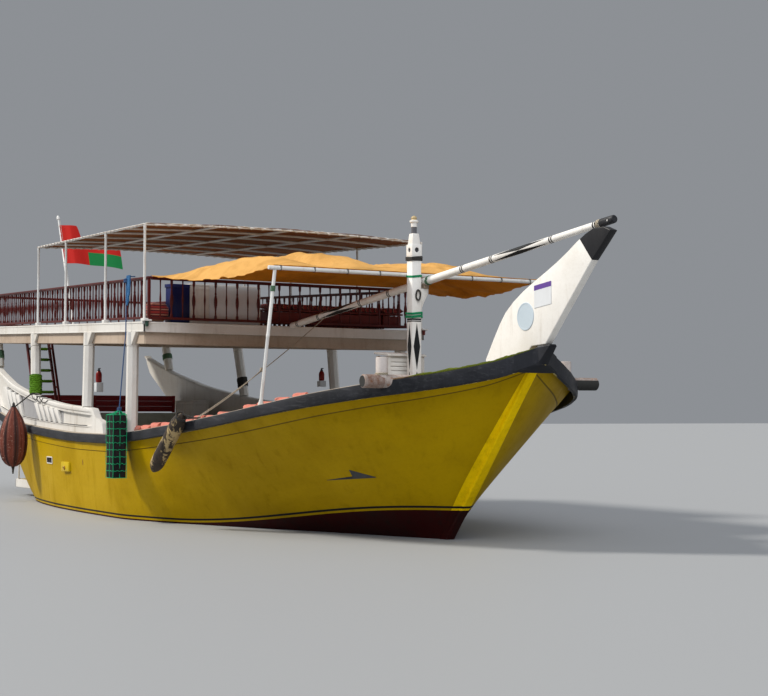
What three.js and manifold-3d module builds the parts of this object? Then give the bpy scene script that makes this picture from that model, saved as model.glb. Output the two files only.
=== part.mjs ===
// A wooden passenger dhow afloat: +X to the bow, +Y to port, +Z up, in millimetres.
// The origin is on the waterline, amidships, on the centreline.
import * as THREE from 'three';
import { mergeVertices } from 'three/addons/utils/BufferGeometryUtils.js';
import Module from 'manifold-3d';

const wasm = await Module();
wasm.setup();

// Driving dimensions
const GAP = 0.3;                 // between pieces that touch
const FAR = 5200;                // past the hull's side and the rail's top
const WALL = 180;                // bulwark: planks, frames and inner ceiling
const TRANSOM_WALL = 160;
const RUB_HEIGHT = 220;          // black rubbing strake
const RUB_THICK = 80;
const MAIN_DECK = 1180;          // height of the main deck
const DECK_PLANK = 60;
const FOREDECK_BREAK = 6600;     // where the raised foredeck begins
const BOW_BEAM_X = 10110;
const BOW_BEAM_Z = 2970;
const BOW_BEAM_HALF = 2600;
const BOW_BEAM_RADIUS = 125;
const MAST_X = 7600;
const MAST_WIDE = 214;
const MAST_FOOT = 1500;
const UPPER_FRONT = 2100;        // upper deck's front edge
const UPPER_LENGTH = 15900;
const UPPER_HEIGHT = 4430;       // its top at the front edge
const UPPER_SLOPE = 0.0455;      // it rises towards the stern
const UPPER_HALF = 3615;
const UPPER_TAPER = 0.05;
const FASCIA = 220;
const LOWER_BEAM = 270;
const RAILING_HEIGHT = 1010;
const CANOPY_HEIGHT = 2130;      // frame's underside above the deck
const CANOPY_LENGTH = 9350;
const CANOPY_CROWN = 80;
const YARD_HEIGHT = 5050;        // the yard's axis beside the mast
const YARD_RADIUS = 80;
const YARD_OFFSET = 236;
const YARD_TOE = THREE.MathUtils.degToRad(2.7);
const YARD_RISE = 0.1119;
const PROPELLER_X = -8000;
const PROPELLER_Z = -985;
const RUDDER_X = -8650;

// Colours
const COLOURS = {
  hull: 0xd7b000, deck: 0x9c7a55, black: 0x24262b, white: 0xe9e6df, maroon: 0x5e1a1a,
  bronze: 0x9a7a3c, tan: 0xd8a850, beige: 0xcdbfa6, salmon: 0xe0705a,
  red: 0xb02a2a, yellow: 0xd8b400, wood: 0x7d6a55, rubber: 0x3a2a26, engine: 0x4d5a52,
};

// Hull sections from the transom to the stem, raked: each row is a slanted section.
const HULL_COLUMNS = ['waterX', 'railX', 'waterHalf', 'railHalf', 'railZ', 'bottom'];
const HULL_SECTIONS = [
  [-9000, -11500, 2560, 2900, 2500, 400],
  [-7900, -9900, 2860, 3040, 2310, 520],
  [-6300, -7700, 3130, 3200, 2150, 690],
  [-4300, -5000, 3330, 3430, 2040, 850],
  [-2000, -2200, 3400, 3570, 1960, 920],
  [0, 0, 3390, 3650, 1950, 940],
  [1500, 1600, 3080, 3630, 2030, 940],
  [3000, 3300, 2500, 3570, 2160, 930],
  [4500, 5100, 1870, 3470, 2320, 900],
  [5900, 6900, 1260, 3310, 2520, 850],
  [7100, 8500, 760, 2920, 2750, 800],
  [8000, 9700, 420, 2360, 2930, 760],
  [8550, 10700, 180, 1560, 3100, 730],
  [8830, 11450, 70, 760, 3290, 710],
  [8900, 11950, 20, 30, 3560, 700],
].map((row) => Object.fromEntries(HULL_COLUMNS.map((name, i) => [name, row[i]])));

// Stern wings on the rail: distance aft of the upper deck's front, top height, half width
const WING_SECTIONS = [
  [2680, 2090, 3580], [2840, 2215, 3575], [3300, 2340, 3560], [3620, 2555, 3540], [4180, 2585, 3510],
  [6000, 2670, 3420], [9000, 2930, 3230], [11700, 3290, 3060], [12700, 3495, 2970], [14000, 3790, 2850],
  [15620, 4330, 2600],
].map(([back, top, half]) => ({ x: UPPER_FRONT - back, top, half }));

const lerp = THREE.MathUtils.lerp;

// Linear reading of a table of rows between two named columns
function readTable(rows, key, value, at) {
  const rising = rows[rows.length - 1][key] > rows[0][key];
  const ordered = rising ? rows : [...rows].reverse();
  if (at <= ordered[0][key]) return ordered[0][value];
  for (let i = 1; i < ordered.length; i += 1) {
    if (at <= ordered[i][key]) {
      const t = (at - ordered[i - 1][key]) / (ordered[i][key] - ordered[i - 1][key]);
      return lerp(ordered[i - 1][value], ordered[i][value], t);
    }
  }
  return ordered[ordered.length - 1][value];
}

const railTop = (x) => readTable(HULL_SECTIONS, 'railX', 'railZ', x);
const railHalf = (x) => readTable(HULL_SECTIONS, 'railX', 'railHalf', x);
const wingTop = (x) => readTable(WING_SECTIONS, 'x', 'top', x);
const upperTop = (x) => UPPER_HEIGHT + UPPER_SLOPE * (UPPER_FRONT - x);
const upperHalf = (x) => UPPER_HALF - UPPER_TAPER * (UPPER_FRONT - x);
const canopyHalf = (x) => upperHalf(x) - 40;
const foredeckTop = (x) => 2150 + (x - FOREDECK_BREAK) * 0.163;

// A closed body through rings of equal, even length, each end closed by a ladder of quads
function loft(rings) {
  const count = rings[0].length;
  const points = rings.flat().flatMap((p) => [p[0], p[1], p[2]]);
  const faces = [];
  const quad = (a, b, c, d) => faces.push(a, b, c, a, c, d);
  for (let i = 0; i + 1 < rings.length; i += 1) {
    for (let j = 0; j < count; j += 1) {
      const k = (j + 1) % count;
      quad(i * count + j, i * count + k, (i + 1) * count + k, (i + 1) * count + j);
    }
  }
  const last = (rings.length - 1) * count;
  for (let j = 0; j + 1 < count / 2; j += 1) {
    quad(j, count - 1 - j, count - 2 - j, j + 1);
    quad(last + j, last + j + 1, last + count - 2 - j, last + count - 1 - j);
  }
  const geometry = new THREE.BufferGeometry();
  geometry.setAttribute('position', new THREE.Float32BufferAttribute(points, 3));
  geometry.setIndex(faces);
  return facingOut(geometry);
}

// Turns the faces round where they enclose a negative volume
function facingOut(geometry) {
  const p = geometry.getAttribute('position');
  const index = geometry.getIndex().array;
  const [a, b, c] = [new THREE.Vector3(), new THREE.Vector3(), new THREE.Vector3()];
  let volume = 0;
  for (let i = 0; i < index.length; i += 3) {
    a.fromBufferAttribute(p, index[i]);
    b.fromBufferAttribute(p, index[i + 1]);
    c.fromBufferAttribute(p, index[i + 2]);
    volume += a.dot(b.cross(c));
  }
  if (volume < 0) {
    for (let i = 0; i < index.length; i += 3) {
      [index[i + 1], index[i + 2]] = [index[i + 2], index[i + 1]];
    }
  }
  return geometry;
}

function toSolid(geometry) {
  const bare = geometry.index ? geometry.clone() : geometry;
  bare.deleteAttribute('normal');
  bare.deleteAttribute('uv');
  const merged = mergeVertices(bare, 0.01);
  return new wasm.Manifold(new wasm.Mesh({
    numProp: 3,
    vertProperties: new Float32Array(merged.getAttribute('position').array),
    triVerts: new Uint32Array(merged.getIndex().array),
  }));
}

function toGeometry(solid) {
  const mesh = solid.getMesh();
  const geometry = new THREE.BufferGeometry();
  geometry.setAttribute('position', new THREE.Float32BufferAttribute(mesh.vertProperties, 3));
  geometry.setIndex(Array.from(mesh.triVerts));
  return geometry;
}

const join = (...parts) => toGeometry(parts.map(toSolid).reduce((a, b) => a.add(b)));
const cut = (body, ...tools) => toGeometry(tools.map(toSolid).reduce((a, b) => a.subtract(b), toSolid(body)));
const common = (a, b) => toGeometry(toSolid(a).intersect(toSolid(b)));

function block(x0, x1, y0, y1, z0, z1) {
  const geometry = new THREE.BoxGeometry(x1 - x0, y1 - y0, z1 - z0);
  return geometry.translate((x0 + x1) / 2, (y0 + y1) / 2, (z0 + z1) / 2);
}

// A round bar between two points
function rod(from, to, radius, sides = 8, endRadius = radius) {
  const [a, b] = [new THREE.Vector3(...from), new THREE.Vector3(...to)];
  const along = b.clone().sub(a);
  const geometry = new THREE.CylinderGeometry(endRadius, radius, along.length(), sides);
  geometry.rotateY(Math.PI / sides);
  geometry.applyQuaternion(new THREE.Quaternion().setFromUnitVectors(
    new THREE.Vector3(0, 1, 0), along.clone().normalize()));
  return geometry.translate((a.x + b.x) / 2, (a.y + b.y) / 2, (a.z + b.z) / 2);
}

// A side view outline in X and Z, as a plate of a given thickness about y
function sidePlate(outline, y, thick, holes = []) {
  const shape = new THREE.Shape(outline.map(([x, z]) => new THREE.Vector2(x, z)));
  holes.forEach((hole) => shape.holes.push(new THREE.Path(hole.map(([x, z]) => new THREE.Vector2(x, z)))));
  const geometry = new THREE.ExtrudeGeometry(shape, { depth: thick, bevelEnabled: false });
  return geometry.rotateX(Math.PI / 2).translate(0, y + thick / 2, 0);
}

// What lies under the rail's top between two places along the hull, full width
const belowRail = (aft, ahead) => sidePlate([[aft, 0], [ahead, 0],
  [ahead, railTop(ahead) + GAP], [aft, railTop(aft) + GAP]], 0, 2 * FAR);

const model = new THREE.Group();

function piece(name, colour, geometry, roughness = 0.6, metalness = 0) {
  const material = new THREE.MeshStandardMaterial({ color: colour, roughness, metalness });
  const mesh = new THREE.Mesh(geometry, material);
  mesh.name = name;
  model.add(mesh);
  return mesh;
}

// One slanted hull section, moved in by an inset, from keel to rail on starboard, then back
const BILGE_STEPS = [0.02, 0.3, 0.58, 0.82];
const TOPSIDE_STEPS = [0, 0.2, 0.5, 0.8, 1];
function hullRing(row) {
  const side = [];
  BILGE_STEPS.forEach((t) => {
    const angle = t * Math.PI / 2;
    const x = row.waterX + Math.min(0, row.waterX - row.railX) * 0.28 * Math.cos(angle);
    const half = Math.max(20, row.waterHalf * Math.sin(angle) ** 0.9);
    side.push([x, half, -row.bottom * Math.cos(angle) ** 0.8]);
  });
  TOPSIDE_STEPS.forEach((v) => {
    const flare = v ** (row.railHalf > row.waterHalf + 900 ? 0.95 : 0.7);
    side.push([lerp(row.waterX, row.railX, v), lerp(row.waterHalf, row.railHalf, flare), row.railZ * v]);
  });
  const starboard = side.map(([x, y, z]) => [x, -y, z]);
  return [...starboard, ...side.reverse()];
}

// The open space inside the bulwarks, from above the waterline to past the rail
function innerSpace(inset) {
  const rings = HULL_SECTIONS.slice(0, -1).map((row, i) => {
    const shift = i === 0 ? TRANSOM_WALL + inset - WALL : 0;
    const side = [0.2, 0.5, 0.8, 1, 1.2].map((v) => {
      const flare = v ** (row.railHalf > row.waterHalf + 900 ? 0.95 : 0.7);
      const half = Math.max(30, lerp(row.waterHalf, row.railHalf, flare) - inset);
      return [lerp(row.waterX, row.railX, v) + shift * 1.42, half, row.railZ * v];
    });
    const starboard = side.map(([x, y, z]) => [x, -y, z]);
    return [...starboard, ...side.reverse()];
  });
  return loft(rings);
}

const decksOutline = (lower) => [
  [-14000, MAIN_DECK - lower], [FOREDECK_BREAK, MAIN_DECK - lower],
  [FOREDECK_BREAK, foredeckTop(FOREDECK_BREAK) - lower], [13500, foredeckTop(13500) - lower],
  [13500, FAR], [-14000, FAR],
];

// Keel, stem and sternpost as one plate, with the propeller's opening
function keelPlate(thick = 200) {
  const outline = [
    [12080, 3585], [11760, 3230], [9390, 630], [8950, 0], [8560, -640], [8100, -1000], [7400, -1260],
    [6300, -1400], [-8950, -1550], [-8950, -1480], [-8560, -1480], [-8560, -250],
    [7600, -250], [8500, 300], [9350, 1300], [11700, 3585],
  ];
  const opening = [[-8300, -1440], [-7700, -1440], [-7700, -560], [-8300, -560]];
  return sidePlate(outline, 0, thick, [opening]);
}

// The beam lies in a notch in both bulwarks, open above
function beamNotch(margin) {
  const radius = BOW_BEAM_RADIUS + margin;
  const half = 3000;
  return join(
    rod([BOW_BEAM_X, -half, BOW_BEAM_Z], [BOW_BEAM_X, half, BOW_BEAM_Z], radius, 12),
    block(BOW_BEAM_X - radius, BOW_BEAM_X + radius, -half, half, BOW_BEAM_Z, BOW_BEAM_Z + 600),
  );
}

const ENGINE = { x0: -5700, x1: -3700, half: 450, z0: -550, z1: 700 };
const outerHull = loft(HULL_SECTIONS.map(hullRing));

function hull() {
  const space = common(innerSpace(WALL), sidePlate(decksOutline(DECK_PLANK), 0, 2 * FAR));
  const engineWell = block(ENGINE.x0 - 300, ENGINE.x1 + 300, -800, 800, ENGINE.z0 - GAP, MAIN_DECK);
  return cut(join(outerHull, keelPlate()), space, engineWell, beamNotch(GAP), mastStep());
}

const mastStep = () => block(
  MAST_X - MAST_WIDE / 2 - GAP, MAST_X + MAST_WIDE / 2 + GAP,
  -MAST_WIDE / 2 - GAP, MAST_WIDE / 2 + GAP, MAST_FOOT, 4000);

function mainDeck() {
  const slab = block(-13000, FOREDECK_BREAK - GAP, -FAR, FAR, MAIN_DECK - DECK_PLANK + GAP, MAIN_DECK);
  return common(innerSpace(WALL + GAP * 2), slab);
}

function foredeck() {
  const [from, to] = [FOREDECK_BREAK + 1, 12300];
  const slab = sidePlate([
    [from, foredeckTop(from) - DECK_PLANK + GAP], [to, foredeckTop(to) - DECK_PLANK + GAP],
    [to, foredeckTop(to)], [from, foredeckTop(from)]], 0, 2 * FAR);
  const apron = keelPlate(200 + 2 * GAP).translate(-2 * GAP, 0, 0);
  return cut(common(innerSpace(WALL + GAP * 2), slab), mastStep(), apron, beamNotch(GAP));
}

// White stem head, a thick plate standing on the stem
const STEM_HEAD = [
  [10300, foredeckTop(10300) + GAP], [10320, 3420], [10620, 4040], [11100, 4400], [11790, 4720],
  [12470, 5010], [13010, 5300], [13450, 5480], [13740, 5480], [13940, 5400], [13430, 4950],
  [12110, 3585 + GAP], [11690, 3585 + GAP], [10945, foredeckTop(10945) + GAP],
];
const stemHead = () => sidePlate(STEM_HEAD, 0, 150);

// The rubbing strake outside each rail
function rubRail(side) {
  const rings = HULL_SECTIONS.map((row) => {
    const bow = THREE.MathUtils.clamp((row.railX - 7000) / 5000, 0, 1);
    const [low, high] = [row.railZ - RUB_HEIGHT - 90 * bow, row.railZ - 12];
    const inner = row.railHalf < 100 ? -20 : row.railHalf - 60;
    const outer = row.railHalf + RUB_THICK;
    const x = row.railX + (row.railHalf < 100 ? 20 : 0);
    return [[x, inner, low], [x, outer, low], [x, outer, high], [x, inner, high]];
  });
  const strake = loft(rings.map((ring) => ring.map(([x, y, z]) => [x, side * y, z])));
  const outward = outerHull.clone().translate(0, side * 2 * GAP, 0);
  const aft = outerHull.clone().translate(-2 * GAP, 0, 0);
  const stem = sidePlate([[11600, 2600], [12500, 2600], [12500, 4200], [11600, 4200]], 0, 200 + 2 * GAP);
  const otherSide = block(8000, 14000, side > 0 ? -FAR : 0, side > 0 ? 0 : FAR, 0, FAR);
  return cut(strake, outward, aft, stem, otherSide, beamNotch(GAP));
}

// White wing on the after rail, with its cap, ending in a fin behind the transom
const FIN_LOW = [{ x: -11500, low: 2500 }, { x: -12870, low: 3470 }, { x: -13300, low: 3780 },
  { x: -13520, low: 4230 }];
function sternWing(side) {
  const places = [...WING_SECTIONS.map((row) => row.x),
    ...HULL_SECTIONS.map((row) => row.railX), -12870, -13300]
    .filter((x) => x <= WING_SECTIONS[0].x && x >= -13520);
  const rings = [...new Set(places)].sort((a, b) => b - a).map((x) => {
    const half = readTable(WING_SECTIONS, 'x', 'half', x) - 20;
    const low = x >= -11500 ? railTop(x) + GAP : readTable(FIN_LOW, 'x', 'low', x);
    const top = Math.max(wingTop(x), low + 130);
    const cap = 60;
    return [
      [x, half, low], [x, half, top - cap], [x, half + 60, top - cap], [x, half + 60, top],
      [x, half - 160, top], [x, half - 160, top - cap], [x, half - 90, top - cap], [x, half - 90, low],
    ].map(([px, py, pz]) => [px, side * py, pz]);
  });
  return loft(rings);
}

const BOLLARD_Y = [-2200, 1870];
const BOLLARD_TOP = 430;         // above the beam's axis
function bowBeam() {
  const bollards = BOLLARD_Y.map((y) => rod(
    [BOW_BEAM_X, y, BOW_BEAM_Z + 60], [BOW_BEAM_X, y, BOW_BEAM_Z + BOLLARD_TOP], 110, 8));
  const beam = rod([BOW_BEAM_X, -BOW_BEAM_HALF, BOW_BEAM_Z], [BOW_BEAM_X, BOW_BEAM_HALF, BOW_BEAM_Z],
    BOW_BEAM_RADIUS, 12);
  return join(beam, ...bollards);
}

// Mast: square shaft, block, tapered neck and turned finial, with the yard's knee to port
const KNEE_TOP = YARD_HEIGHT - YARD_RADIUS - 60;
const MAST_BLOCK = { z0: 5540, z1: 5795, proud: 8 };
const FINIAL_FOOT = 6000;
const FINIAL = [[0, 0], [55, 0], [55, 140], [62, 150], [62, 225], [90, 240], [90, 275], [55, 290],
  [60, 325], [35, 365], [0, 370]];
const lathe = (profile, sides) => new THREE.LatheGeometry(
  profile.map(([r, z]) => new THREE.Vector2(r, z)), sides).rotateX(Math.PI / 2);
function mast() {
  const half = MAST_WIDE / 2;
  const wide = half + MAST_BLOCK.proud;
  const taper = new THREE.CylinderGeometry(72 * Math.SQRT2, 95 * Math.SQRT2, 220, 4).rotateY(Math.PI / 4)
    .rotateX(Math.PI / 2).translate(MAST_X, 0, 5900);
  const finial = lathe(FINIAL, 10).translate(MAST_X, 0, FINIAL_FOOT);
  const knee = new THREE.ExtrudeGeometry(new THREE.Shape([
    new THREE.Vector2(half - 20, KNEE_TOP - 560), new THREE.Vector2(YARD_OFFSET + 70, KNEE_TOP - 90),
    new THREE.Vector2(YARD_OFFSET + 70, KNEE_TOP), new THREE.Vector2(half - 20, KNEE_TOP),
  ]), { depth: 120, bevelEnabled: false });
  knee.applyMatrix4(new THREE.Matrix4().set(0, 0, 1, MAST_X - 60, 1, 0, 0, 0, 0, 1, 0, 0, 0, 0, 0, 1));
  return join(
    block(MAST_X - half, MAST_X + half, -half, half, MAST_FOOT + GAP, MAST_BLOCK.z0 + 20),
    block(MAST_X - wide, MAST_X + wide, -wide, wide, MAST_BLOCK.z0, MAST_BLOCK.z1),
    taper, finial, knee);
}

// Lowered yard beside the mast; its saddle slides on the knee
function yard() {
  const at = (s) => [MAST_X + s * Math.cos(YARD_TOE), YARD_OFFSET + s * Math.sin(YARD_TOE),
    YARD_HEIGHT + s * YARD_RISE];
  const spar = join(rod(at(-5400), at(10), 72, 10, YARD_RADIUS), rod(at(0), at(5710), YARD_RADIUS, 10, 62));
  const saddle = block(MAST_X - 100, MAST_X + 100, YARD_OFFSET - 60, YARD_OFFSET + 60,
    KNEE_TOP + GAP, YARD_HEIGHT);
  return join(spar, saddle);
}

function propeller() {
  const hub = rod([PROPELLER_X - 140, 0, PROPELLER_Z], [-7700 - GAP, 0, PROPELLER_Z], 80, 12);
  const blades = [0, 1, 2, 3].map((i) => {
    const blade = new THREE.CylinderGeometry(190, 110, 340, 10).scale(1, 1, 0.13)
      .rotateX(Math.PI / 2).rotateZ(THREE.MathUtils.degToRad(62)).translate(0, 0, 225);
    return blade.rotateX(i * Math.PI / 2).translate(PROPELLER_X, 0, PROPELLER_Z);
  });
  return join(hub, ...blades);
}

function rudder() {
  return join(
    rod([RUDDER_X, 0, -1440], [RUDDER_X, 0, -470], 60, 12),
    rod([RUDDER_X, 0, -1480 + GAP], [RUDDER_X, 0, -1400], 45, 12),
    sidePlate([[RUDDER_X, -1440], [-9450, -1400], [-9500, -520], [RUDDER_X, -480]], 0, 80));
}

// Upper deck: a slab with a set-back lower frame, tapered and rising aft
function upperDeck() {
  const aft = UPPER_FRONT - UPPER_LENGTH;
  const slabRing = (x) => {
    const [half, top] = [upperHalf(x), upperTop(x)];
    return [[x, -half, top - FASCIA], [x, -half, top], [x, half, top], [x, half, top - FASCIA]];
  };
  const under = (x, out, inside, side) => {
    const [half, top] = [upperHalf(x), upperTop(x) - FASCIA + 20];
    const low = top - LOWER_BEAM - 20;
    return [[x, side * (half - out), low], [x, side * (half - out), top],
      [x, side * (half - inside), top], [x, side * (half - inside), low]];
  };
  const sideBeams = [-1, 1].map((side) => loft([
    under(UPPER_FRONT - 100, 60, 220, side), under(aft + 120, 60, 220, side)]));
  const crossBeams = [180, 4310, 9650, 14660, UPPER_LENGTH - 200].map((back) => {
    const x = UPPER_FRONT - back;
    const ring = (at) => {
      const [half, top] = [upperHalf(at) - 100, upperTop(at) - FASCIA + 20];
      return [[at, -half, top - LOWER_BEAM - 20], [at, -half, top], [at, half, top],
        [at, half, top - LOWER_BEAM - 20]];
    };
    return loft([ring(x + 80), ring(x - 80)]);
  });
  const slab = join(loft([slabRing(UPPER_FRONT), slabRing(aft)]), ...sideBeams, ...crossBeams);
  return cut(slab, block(LADDER.hatchX0, LADDER.hatchX1, LADDER.hatchY0, LADDER.hatchY1, 4000, 6000));
}

// Ladder to the upper deck: its place, the handrail's reach ahead of a stile, and the hatch
const LADDER = { footX: -7950, topX: -9720, y0: -2750, y1: -2050, reach: 270, hatchX0: -9830,
  hatchX1: -8950, hatchY0: -2830, hatchY1: -1970 };
function ladder() {
  const top = upperTop(LADDER.topX);
  const at = (z) => lerp(LADDER.footX, LADDER.topX, (z - MAIN_DECK) / (top - MAIN_DECK));
  const stile = (y) => loft([MAIN_DECK + GAP, top].map((z) => [
    [at(z) - 60, y, z], [at(z) + 60, y, z], [at(z) + 60, y + 60, z], [at(z) - 60, y + 60, z]]));
  const rungs = [];
  for (let z = MAIN_DECK + 310; z < top - 100; z += 314) {
    rungs.push(block(at(z) - 35, at(z) + 35, LADDER.y0 + 20, LADDER.y1 - 20, z - 20, z + 20));
  }
  const [railStart, railEnd] = [MAIN_DECK + 760, top - 480];
  const handrail = loft([railStart, railEnd].map((z) => [
    [at(z) + LADDER.reach, LADDER.y1 - 60, z], [at(z) + LADDER.reach + 70, LADDER.y1 - 60, z],
    [at(z) + LADDER.reach + 70, LADDER.y1, z], [at(z) + LADDER.reach, LADDER.y1, z]]));
  const stays = [railStart + 140, (railStart + railEnd) / 2, railEnd - 160].map((z) => block(
    at(z) - 20, at(z) + LADDER.reach + 30, LADDER.y1 - 50, LADDER.y1 - 10, z - 30, z + 30));
  return join(stile(LADDER.y0), stile(LADDER.y1 - 60), ...rungs, handrail, ...stays);
}

// Columns between rail or wing and the upper deck: foot and top, distance aft and half width
const COLUMNS = [
  { name: 'column_1', footBack: 940, footHalf: 3520, topBack: 940, topHalf: 3500 },
  { name: 'column_2', footBack: 4170, footHalf: 3435, topBack: 4310, topHalf: 3355 },
  { name: 'column_3', footBack: 9330, footHalf: 3140, topBack: 9700, topHalf: 3040 },
  { name: 'column_4', footBack: 14250, footHalf: 2750, topBack: 14600, topHalf: 2730 },
];
const COLUMN_HALF = 132;
function column(row, side) {
  const ring = (back, half, height) => {
    const x = UPPER_FRONT - back;
    const corners = [0, 1, 2, 3, 4, 5, 6, 7].map((i) => {
      const angle = (i + 0.5) * Math.PI / 4;
      const reach = COLUMN_HALF / Math.cos(Math.PI / 8);
      return [x + reach * Math.cos(angle), side * (half + reach * Math.sin(angle))];
    });
    return corners.map(([px, py]) => [px, py, height(px)]);
  };
  const foot = row.footBack < 3000 ? (x) => railTop(x) + GAP : (x) => wingTop(x) + GAP;
  const head = (x) => upperTop(x) - FASCIA - LOWER_BEAM - GAP;
  return loft([ring(row.footBack, row.footHalf, foot), ring(row.topBack, row.topHalf, head)]);
}

// A flat railing panel of square balusters under a broad handrail, length along X
const BALUSTER_PITCH = 300;
function railingPanel(length, odd = false) {
  const [low, high, half] = [70, RAILING_HEIGHT - 60, 28];
  const count = 2 * Math.round(length / BALUSTER_PITCH / 2) - (odd ? 1 : 0);
  const balusters = Array.from({ length: count + 1 }, (_, i) => {
    const x = THREE.MathUtils.clamp(i * length / count, half, length - half);
    return block(x - half, x + half, -half, half, i === 0 || i === count ? 0 : low + 20, high + 10);
  });
  return join(block(0, length, -35, 35, low, low + 60), block(0, length, -50, 50, high, RAILING_HEIGHT),
    ...balusters);
}

// Stands a panel on the upper deck between two plan points, sheared to the deck's rise
function onUpperDeck(geometry, from, to) {
  const [dx, dy] = [to[0] - from[0], to[1] - from[1]];
  const angle = Math.atan2(dy, dx);
  geometry.rotateZ(angle).translate(from[0], from[1], 0);
  const shear = new THREE.Matrix4().set(
    1, 0, 0, 0, 0, 1, 0, 0,
    -UPPER_SLOPE, 0, 1, UPPER_HEIGHT + UPPER_SLOPE * UPPER_FRONT + GAP, 0, 0, 0, 1);
  return geometry.applyMatrix4(shear);
}

const RAILING_INSET = 150;
function railings() {
  const [front, aft] = [UPPER_FRONT - 70, UPPER_FRONT - UPPER_LENGTH + 70];
  const panel = (name, from, to, odd) => {
    const length = Math.hypot(to[0] - from[0], to[1] - from[1]);
    piece(name, COLOURS.maroon, onUpperDeck(railingPanel(length, odd), from, to));
  };
  const sideY = (x) => upperHalf(x) - RAILING_INSET;
  panel('railing_front', [front, -sideY(front)], [front, sideY(front)]);
  panel('railing_aft', [aft, -sideY(aft)], [aft, sideY(aft)], true);
  [['starboard', -1], ['port', 1]].forEach(([name, side]) => {
    panel(`railing_${name}`, [aft + 56, side * sideY(aft + 56)], [front - 56, side * sideY(front - 56)]);
  });
}

// Canopy: four posts a side, a pipe frame with a crown, and the sheet laced over it
const POST_BACKS = [60, 3000, 6500, 9300];
const PIPE_BACKS = [60, 1530, 3000, 4750, 6500, 7900, 9300];
const PIPE = 28;
const CANOPY_THICK = 30;
const frameZ = (x) => upperTop(x) + CANOPY_HEIGHT + PIPE;
function canopy() {
  POST_BACKS.forEach((back, i) => {
    const x = UPPER_FRONT - back;
    [['starboard', -1], ['port', 1]].forEach(([name, side]) => {
      const y = side * canopyHalf(x);
      const head = frameZ(x + 36) - PIPE * Math.cos(Math.PI / 6) - 2 * GAP;
      const post = rod([x, y, upperTop(x - 30) + GAP], [x, y, head], 30, 8);
      piece(`canopy_post_${name}_${i + 1}`, COLOURS.white, post, 0.4);
    });
  });
  const [front, aft] = [UPPER_FRONT - 60, UPPER_FRONT - CANOPY_LENGTH + 20];
  const point = (x, share) => [x, share * canopyHalf(x), frameZ(x) + CANOPY_CROWN * (1 - Math.abs(share))];
  const pipes = [-1, 0, 1].map((share) => rod(point(aft - 30, share), point(front + 30, share), PIPE, 6));
  PIPE_BACKS.forEach((back) => {
    const x = UPPER_FRONT - back;
    pipes.push(rod(point(x, -1), point(x, 0), PIPE - 2, 6), rod(point(x, 0), point(x, 1), PIPE - 2, 6));
  });
  piece('canopy_frame', COLOURS.white, join(...pipes), 0.4);
  const sheetRing = (x) => {
    const half = canopyHalf(x) + 40;
    const low = frameZ(x) + PIPE - 2.2;
    const high = low + CANOPY_THICK;
    return [[x, -half, low], [x, 0, low + CANOPY_CROWN], [x, half, low],
      [x, half, high], [x, 0, high + CANOPY_CROWN], [x, -half, high]];
  };
  const sheet = loft([sheetRing(UPPER_FRONT), sheetRing(UPPER_FRONT - CANOPY_LENGTH - 40)]);
  piece('canopy', COLOURS.beige, sheet, 0.9);
}

// Awning: a slack sheet from the front railing down to a pole lashed abaft the mast
const AWNING_POST_FOOT = { x: 7200, half: 3190 };
const AWNING_ENDS = { half: 3420, poleHalf: 3040, thick: 25, swell: 120, crest: 1125 };
const POLE = { x: MAST_X - MAST_WIDE / 2 - 40 - GAP, z: 5190, half: 3040, radius: 40 };
function awning() {
  const rows = [0, 0.12, 0.3, 0.5, 0.7, 0.88, 1];
  const across = [-1, -0.76, -0.55, -0.34, -0.12, 0.14, 0.45, 0.74, 1];
  const crest = [-0.28, 0.12, -0.02, 0.3, 0.05, 0.08, 0.22, 0, -0.3];
  const [fromX, toX] = [UPPER_FRONT - 60, POLE.x];
  const fromZ = UPPER_HEIGHT + RAILING_HEIGHT + 6.2;
  const rings = rows.map((t) => {
    const x = lerp(fromX, toX, t);
    const half = lerp(AWNING_ENDS.half, AWNING_ENDS.poleHalf, t);
    const base = lerp(fromZ, POLE.z + POLE.radius + 2, t);
    const swell = Math.sin(Math.PI * t);
    const lift = (i) => swell * (AWNING_ENDS.swell + AWNING_ENDS.crest * crest[i]);
    const under = across.map((a, i) => [x, a * half, base + 2 + lift(i)]);
    const over = under.map(([px, py, pz]) => [px, py, pz + AWNING_ENDS.thick]).reverse();
    return [...under, ...over];
  });
  return loft(rings);
}

function awningRig() {
  piece('awning', COLOURS.tan, awning(), 0.9);
  piece('awning_pole', COLOURS.white,
    rod([POLE.x, -POLE.half - 120, POLE.z], [POLE.x, POLE.half + 120, POLE.z], POLE.radius, 8), 0.4);
  const railCap = belowRail(AWNING_POST_FOOT.x - 150, AWNING_POST_FOOT.x + 150);
  [['starboard', -1], ['port', 1]].forEach(([name, side]) => {
    const foot = [AWNING_POST_FOOT.x, side * AWNING_POST_FOOT.half, railTop(AWNING_POST_FOOT.x) - 40];
    const head = [POLE.x, side * (POLE.half - 30), POLE.z + 30];
    const post = cut(rod(foot, head, 34, 8),
      rod([POLE.x, -4000, POLE.z], [POLE.x, 4000, POLE.z], POLE.radius + GAP, 8),
      block(POLE.x - 300, POLE.x + 300, -4000, 4000, POLE.z, POLE.z + 300),
      railCap);
    piece(`awning_post_${name}`, COLOURS.white, post, 0.4);
  });
}

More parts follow.
